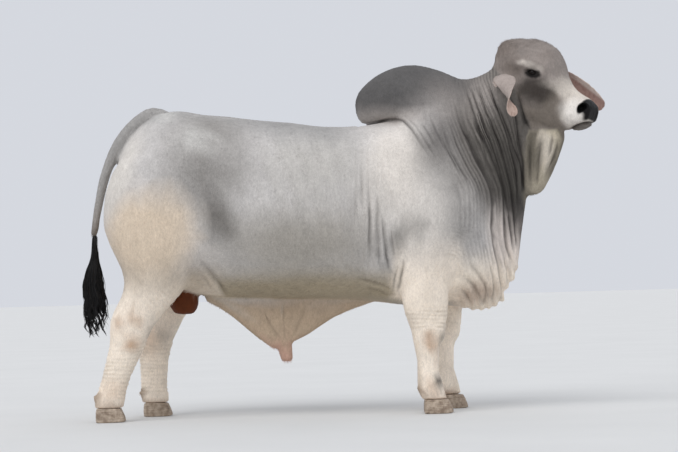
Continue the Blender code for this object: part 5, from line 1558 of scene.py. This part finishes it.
def make_switch():
    """The tail's long black hair: a dark core, and wavy strands gathered in curling locks."""
    rng = np.random.default_rng(19)
    middle_y = (middle_of("tail_switch") - SHIFT)[1]
    made = hair_material("switch", 0.50)
    bpy.ops.object.select_all(action="DESELECT")
    bpy.ops.mesh.primitive_uv_sphere_add(segments=40, ring_count=40, radius=1)
    core = bpy.context.object
    core.name = core.data.name = "switch_core"
    core.data.uv_layers[0].name = "OFBake"
    points, _ = mesh_arrays(core)
    ball = points + SHIFT
    z = 0.645 + 0.150 * ball[:, 2]
    middle, half = switch_places(z)
    girth = np.sqrt(np.clip(1 - ball[:, 2] ** 2, 0, 1))
    flat = unit(ball[:, :2] + 1e-9) * girth[:, None] * half[:, None] * 0.74
    place(core, np.stack([middle + flat[:, 0], middle_y + 0.80 * flat[:, 1], z], axis=1))
    write_colour(core.data, "Coat", np.tile((0.004, 0.004, 0.005), (len(points), 1)))
    core.data.shade_smooth()
    set_material(core, made)
    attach(core, "root")
    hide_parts("tail_switch")

    angle = rng.uniform(0, FULL_TURN, SWITCH_LOCKS)
    out = np.sqrt(rng.uniform(0.05, 1, SWITCH_LOCKS))
    phase = rng.uniform(0, FULL_TURN, SWITCH_LOCKS)
    wave = rng.uniform(0.085, 0.150, SWITCH_LOCKS)
    curl = rng.uniform(0.006, 0.015, SWITCH_LOCKS)
    end = rng.uniform(0.440, 0.520, SWITCH_LOCKS)
    end[:LONG_LOCKS] = rng.uniform(SWITCH_END, 0.425, LONG_LOCKS)
    out[:LONG_LOCKS] = rng.uniform(0.35, 0.92, LONG_LOCKS)
    lock = rng.integers(0, SWITCH_LOCKS, SWITCH_STRANDS)
    start = 0.875 - 0.265 * rng.uniform(0, 1, SWITCH_STRANDS) ** 1.1
    finish = end[lock] + 0.10 * rng.uniform(0, 1, SWITCH_STRANDS) ** 4
    short = rng.random(SWITCH_STRANDS) < 0.16
    finish = np.where(short, start - rng.uniform(0.08, 0.20, SWITCH_STRANDS), finish)
    finish = np.maximum(finish, SWITCH_END)
    t = np.linspace(0, 1, SWITCH_STEPS)[None]
    z = start[:, None] + (finish - start)[:, None] * t
    middle, half = switch_places(z)
    fall = ramp(0.70 - z, 0, 0.30)
    reach = np.minimum(out[lock][:, None] * (0.80 + 0.20 * ramp(0.80 - z, 0, 0.1)), 0.94)
    reach = np.where(short[:, None], 0.90 + 0.16 * t, reach)
    turn = phase[lock][:, None] + (0.8 - z) * FULL_TURN / wave[lock][:, None]
    round_way, swung = angle[lock][:, None], fall * curl[lock][:, None]
    x = middle + reach * half * np.cos(round_way) + swung * np.cos(turn)
    y = middle_y + 0.78 * reach * half * np.sin(round_way) + swung * np.sin(turn)
    loose = rng.normal(0, 1, (SWITCH_STRANDS, 2)) * 0.0070
    gather = (1 - 0.80 * ramp(t, 0.15, 0.85)) * np.minimum(half / 0.045, 1.0)
    ripple = rng.uniform(0.03, 0.06, (SWITCH_STRANDS, 1))
    fine = 0.0011 * np.sin(z * FULL_TURN / ripple + loose[:, :1] * 900)
    x = x + loose[:, :1] * gather + fine * fall
    y = y + loose[:, 1:] * gather + np.roll(fine, 3, axis=0) * fall
    x = np.maximum(x, SWITCH_REAR)
    radii = 0.00115 * (1 - t ** 2.5 * 0.75) * rng.uniform(0.7, 1.25, (SWITCH_STRANDS, 1))
    colours = np.array((0.0060, 0.0056, 0.0060)) * rng.uniform(0.5, 2.0, (SWITCH_STRANDS, 1))
    colours += np.array((0.010, 0.006, 0.003)) * (rng.random((SWITCH_STRANDS, 1)) < 0.12)
    way = np.arctan2(y[:, 0] - middle_y, x[:, 0] - middle[:, 0]) / FULL_TURN + 0.5
    unwrap = np.stack([way, 0.1 + 0.8 * (start - 0.59) / 0.25], axis=1)
    arrays = strand_arrays(np.stack([x, y, z], axis=2), radii, colours, unwrap)
    hair_mesh("switch_hair", *arrays, made, "tail_hair", True)


def make_lashes():
    """Dark lashes along both lids of both eyes."""
    rng = np.random.default_rng(23)
    out, long, up = eye_axes()
    made = hair_material("lashes", 0.5)
    paths = []
    t = np.linspace(0, 1, 7)[:, None]
    for sign in (-1, 1):
        for upper, count, length in ((True, 64, 0.0150), (False, 36, 0.0080)):
            for angle in np.linspace(math.radians(16), math.radians(164), count):
                angle += rng.normal(0, 0.02)
                high = LID_HIGH if upper else -LID_LOW
                c, s = math.cos(angle), math.sin(angle)
                u = (LID_LONG + 0.001) * abs(c) ** (2 / LID_POWER) * math.copysign(1, c)
                v = high * 1.10 * s ** (2 / LID_POWER)
                w = math.sqrt(max((EYE_RADIUS + LID_THICK - 0.0006) ** 2 - u * u - v * v, 1e-6))
                size = length * rng.uniform(0.7, 1.15)
                lean = long * (0.30 * c + rng.normal(0, 0.12))
                droop = (-0.55 if upper else -0.35) + rng.normal(0, 0.08)
                path = EYE + long * u + up * v + out * w
                path = path + (out * 0.75 + lean + up * droop) * size * t
                path = path + up * (0.35 if upper else -0.1) * size * t ** 2
                paths.append(from_head(path * (1, sign, 1)))
    paths = np.array(paths)
    radii = 0.00030 * (1 - 0.8 * t.T) * np.ones((len(paths), 1))
    colours = np.tile((0.008, 0.007, 0.006), (len(paths), 1))
    spots = np.stack([np.arange(len(paths)) / len(paths), np.full(len(paths), 0.5)], axis=1)
    hair_mesh("lashes", *strand_arrays(paths, radii, colours, spots), made, "eye_black")


def set_stage():
    """A plain pale floor and soft studio light."""
    bpy.ops.object.select_all(action="DESELECT")
    bpy.ops.mesh.primitive_circle_add(vertices=96, radius=300, fill_type="NGON", location=(0, 0, 0))
    floor = bpy.context.object
    floor.name = "floor"
    set_material(floor, plain_material("floor", (0.62, 0.62, 0.61), 0.9))
    world = bpy.data.worlds.new("studio")
    world.use_nodes = True
    world.node_tree.nodes["Background"].inputs["Color"].default_value = (0.90, 0.93, 1.0, 1)
    world.node_tree.nodes["Background"].inputs["Strength"].default_value = 0.74
    bpy.context.scene.world = world
    for name, way, strength, soft in (
        ("key", (0.42, 0.75, -1.05), 1.45, 45),
        ("fill", (-0.8, 0.7, -0.45), 0.22, 80),
        ("back", (-0.2, -0.9, -0.7), 0.32, 80),
    ):
        light = bpy.data.lights.new(name, "SUN")
        light.energy = strength
        light.angle = math.radians(soft)
        lamp = bpy.data.objects.new(name, light)
        lamp.location = (0, 0, 5)
        lamp.rotation_euler = Vector(way).to_track_quat("-Z", "Y").to_euler()
        bpy.context.scene.collection.objects.link(lamp)


def set_camera():
    """The photograph's viewpoint, which looks a little up and leans a little."""
    level = Matrix(((1, 0, 0), (0, 0, -1), (0, 1, 0)))
    turn = Matrix.Rotation(CAMERA_PITCH, 3, "X") @ level @ Matrix.Rotation(-CAMERA_ROLL, 3, "Z")
    data = bpy.data.cameras.new("camera")
    data.sensor_width = SENSOR
    data.lens = CAMERA_FOCUS / PHOTO_WIDE * SENSOR
    data.clip_end = 200
    camera = bpy.data.objects.new("camera", data)
    where = Vector(CAMERA_PLACE) + Vector((SHIFT[0], SHIFT[1], 0))
    camera.matrix_world = Matrix.Translation(where) @ turn.to_4x4()
    bpy.context.scene.collection.objects.link(camera)
    bpy.context.scene.camera = camera


set_camera()
set_stage()
bpy.context.scene.view_settings.view_transform = "Standard"
skin = grow_skin()
set_material(skin, hide_material())
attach(skin, "root")
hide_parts(*FLESH)
make_eyes()
make_hooves()
make_switch()
make_lashes()
grow_coat(skin)
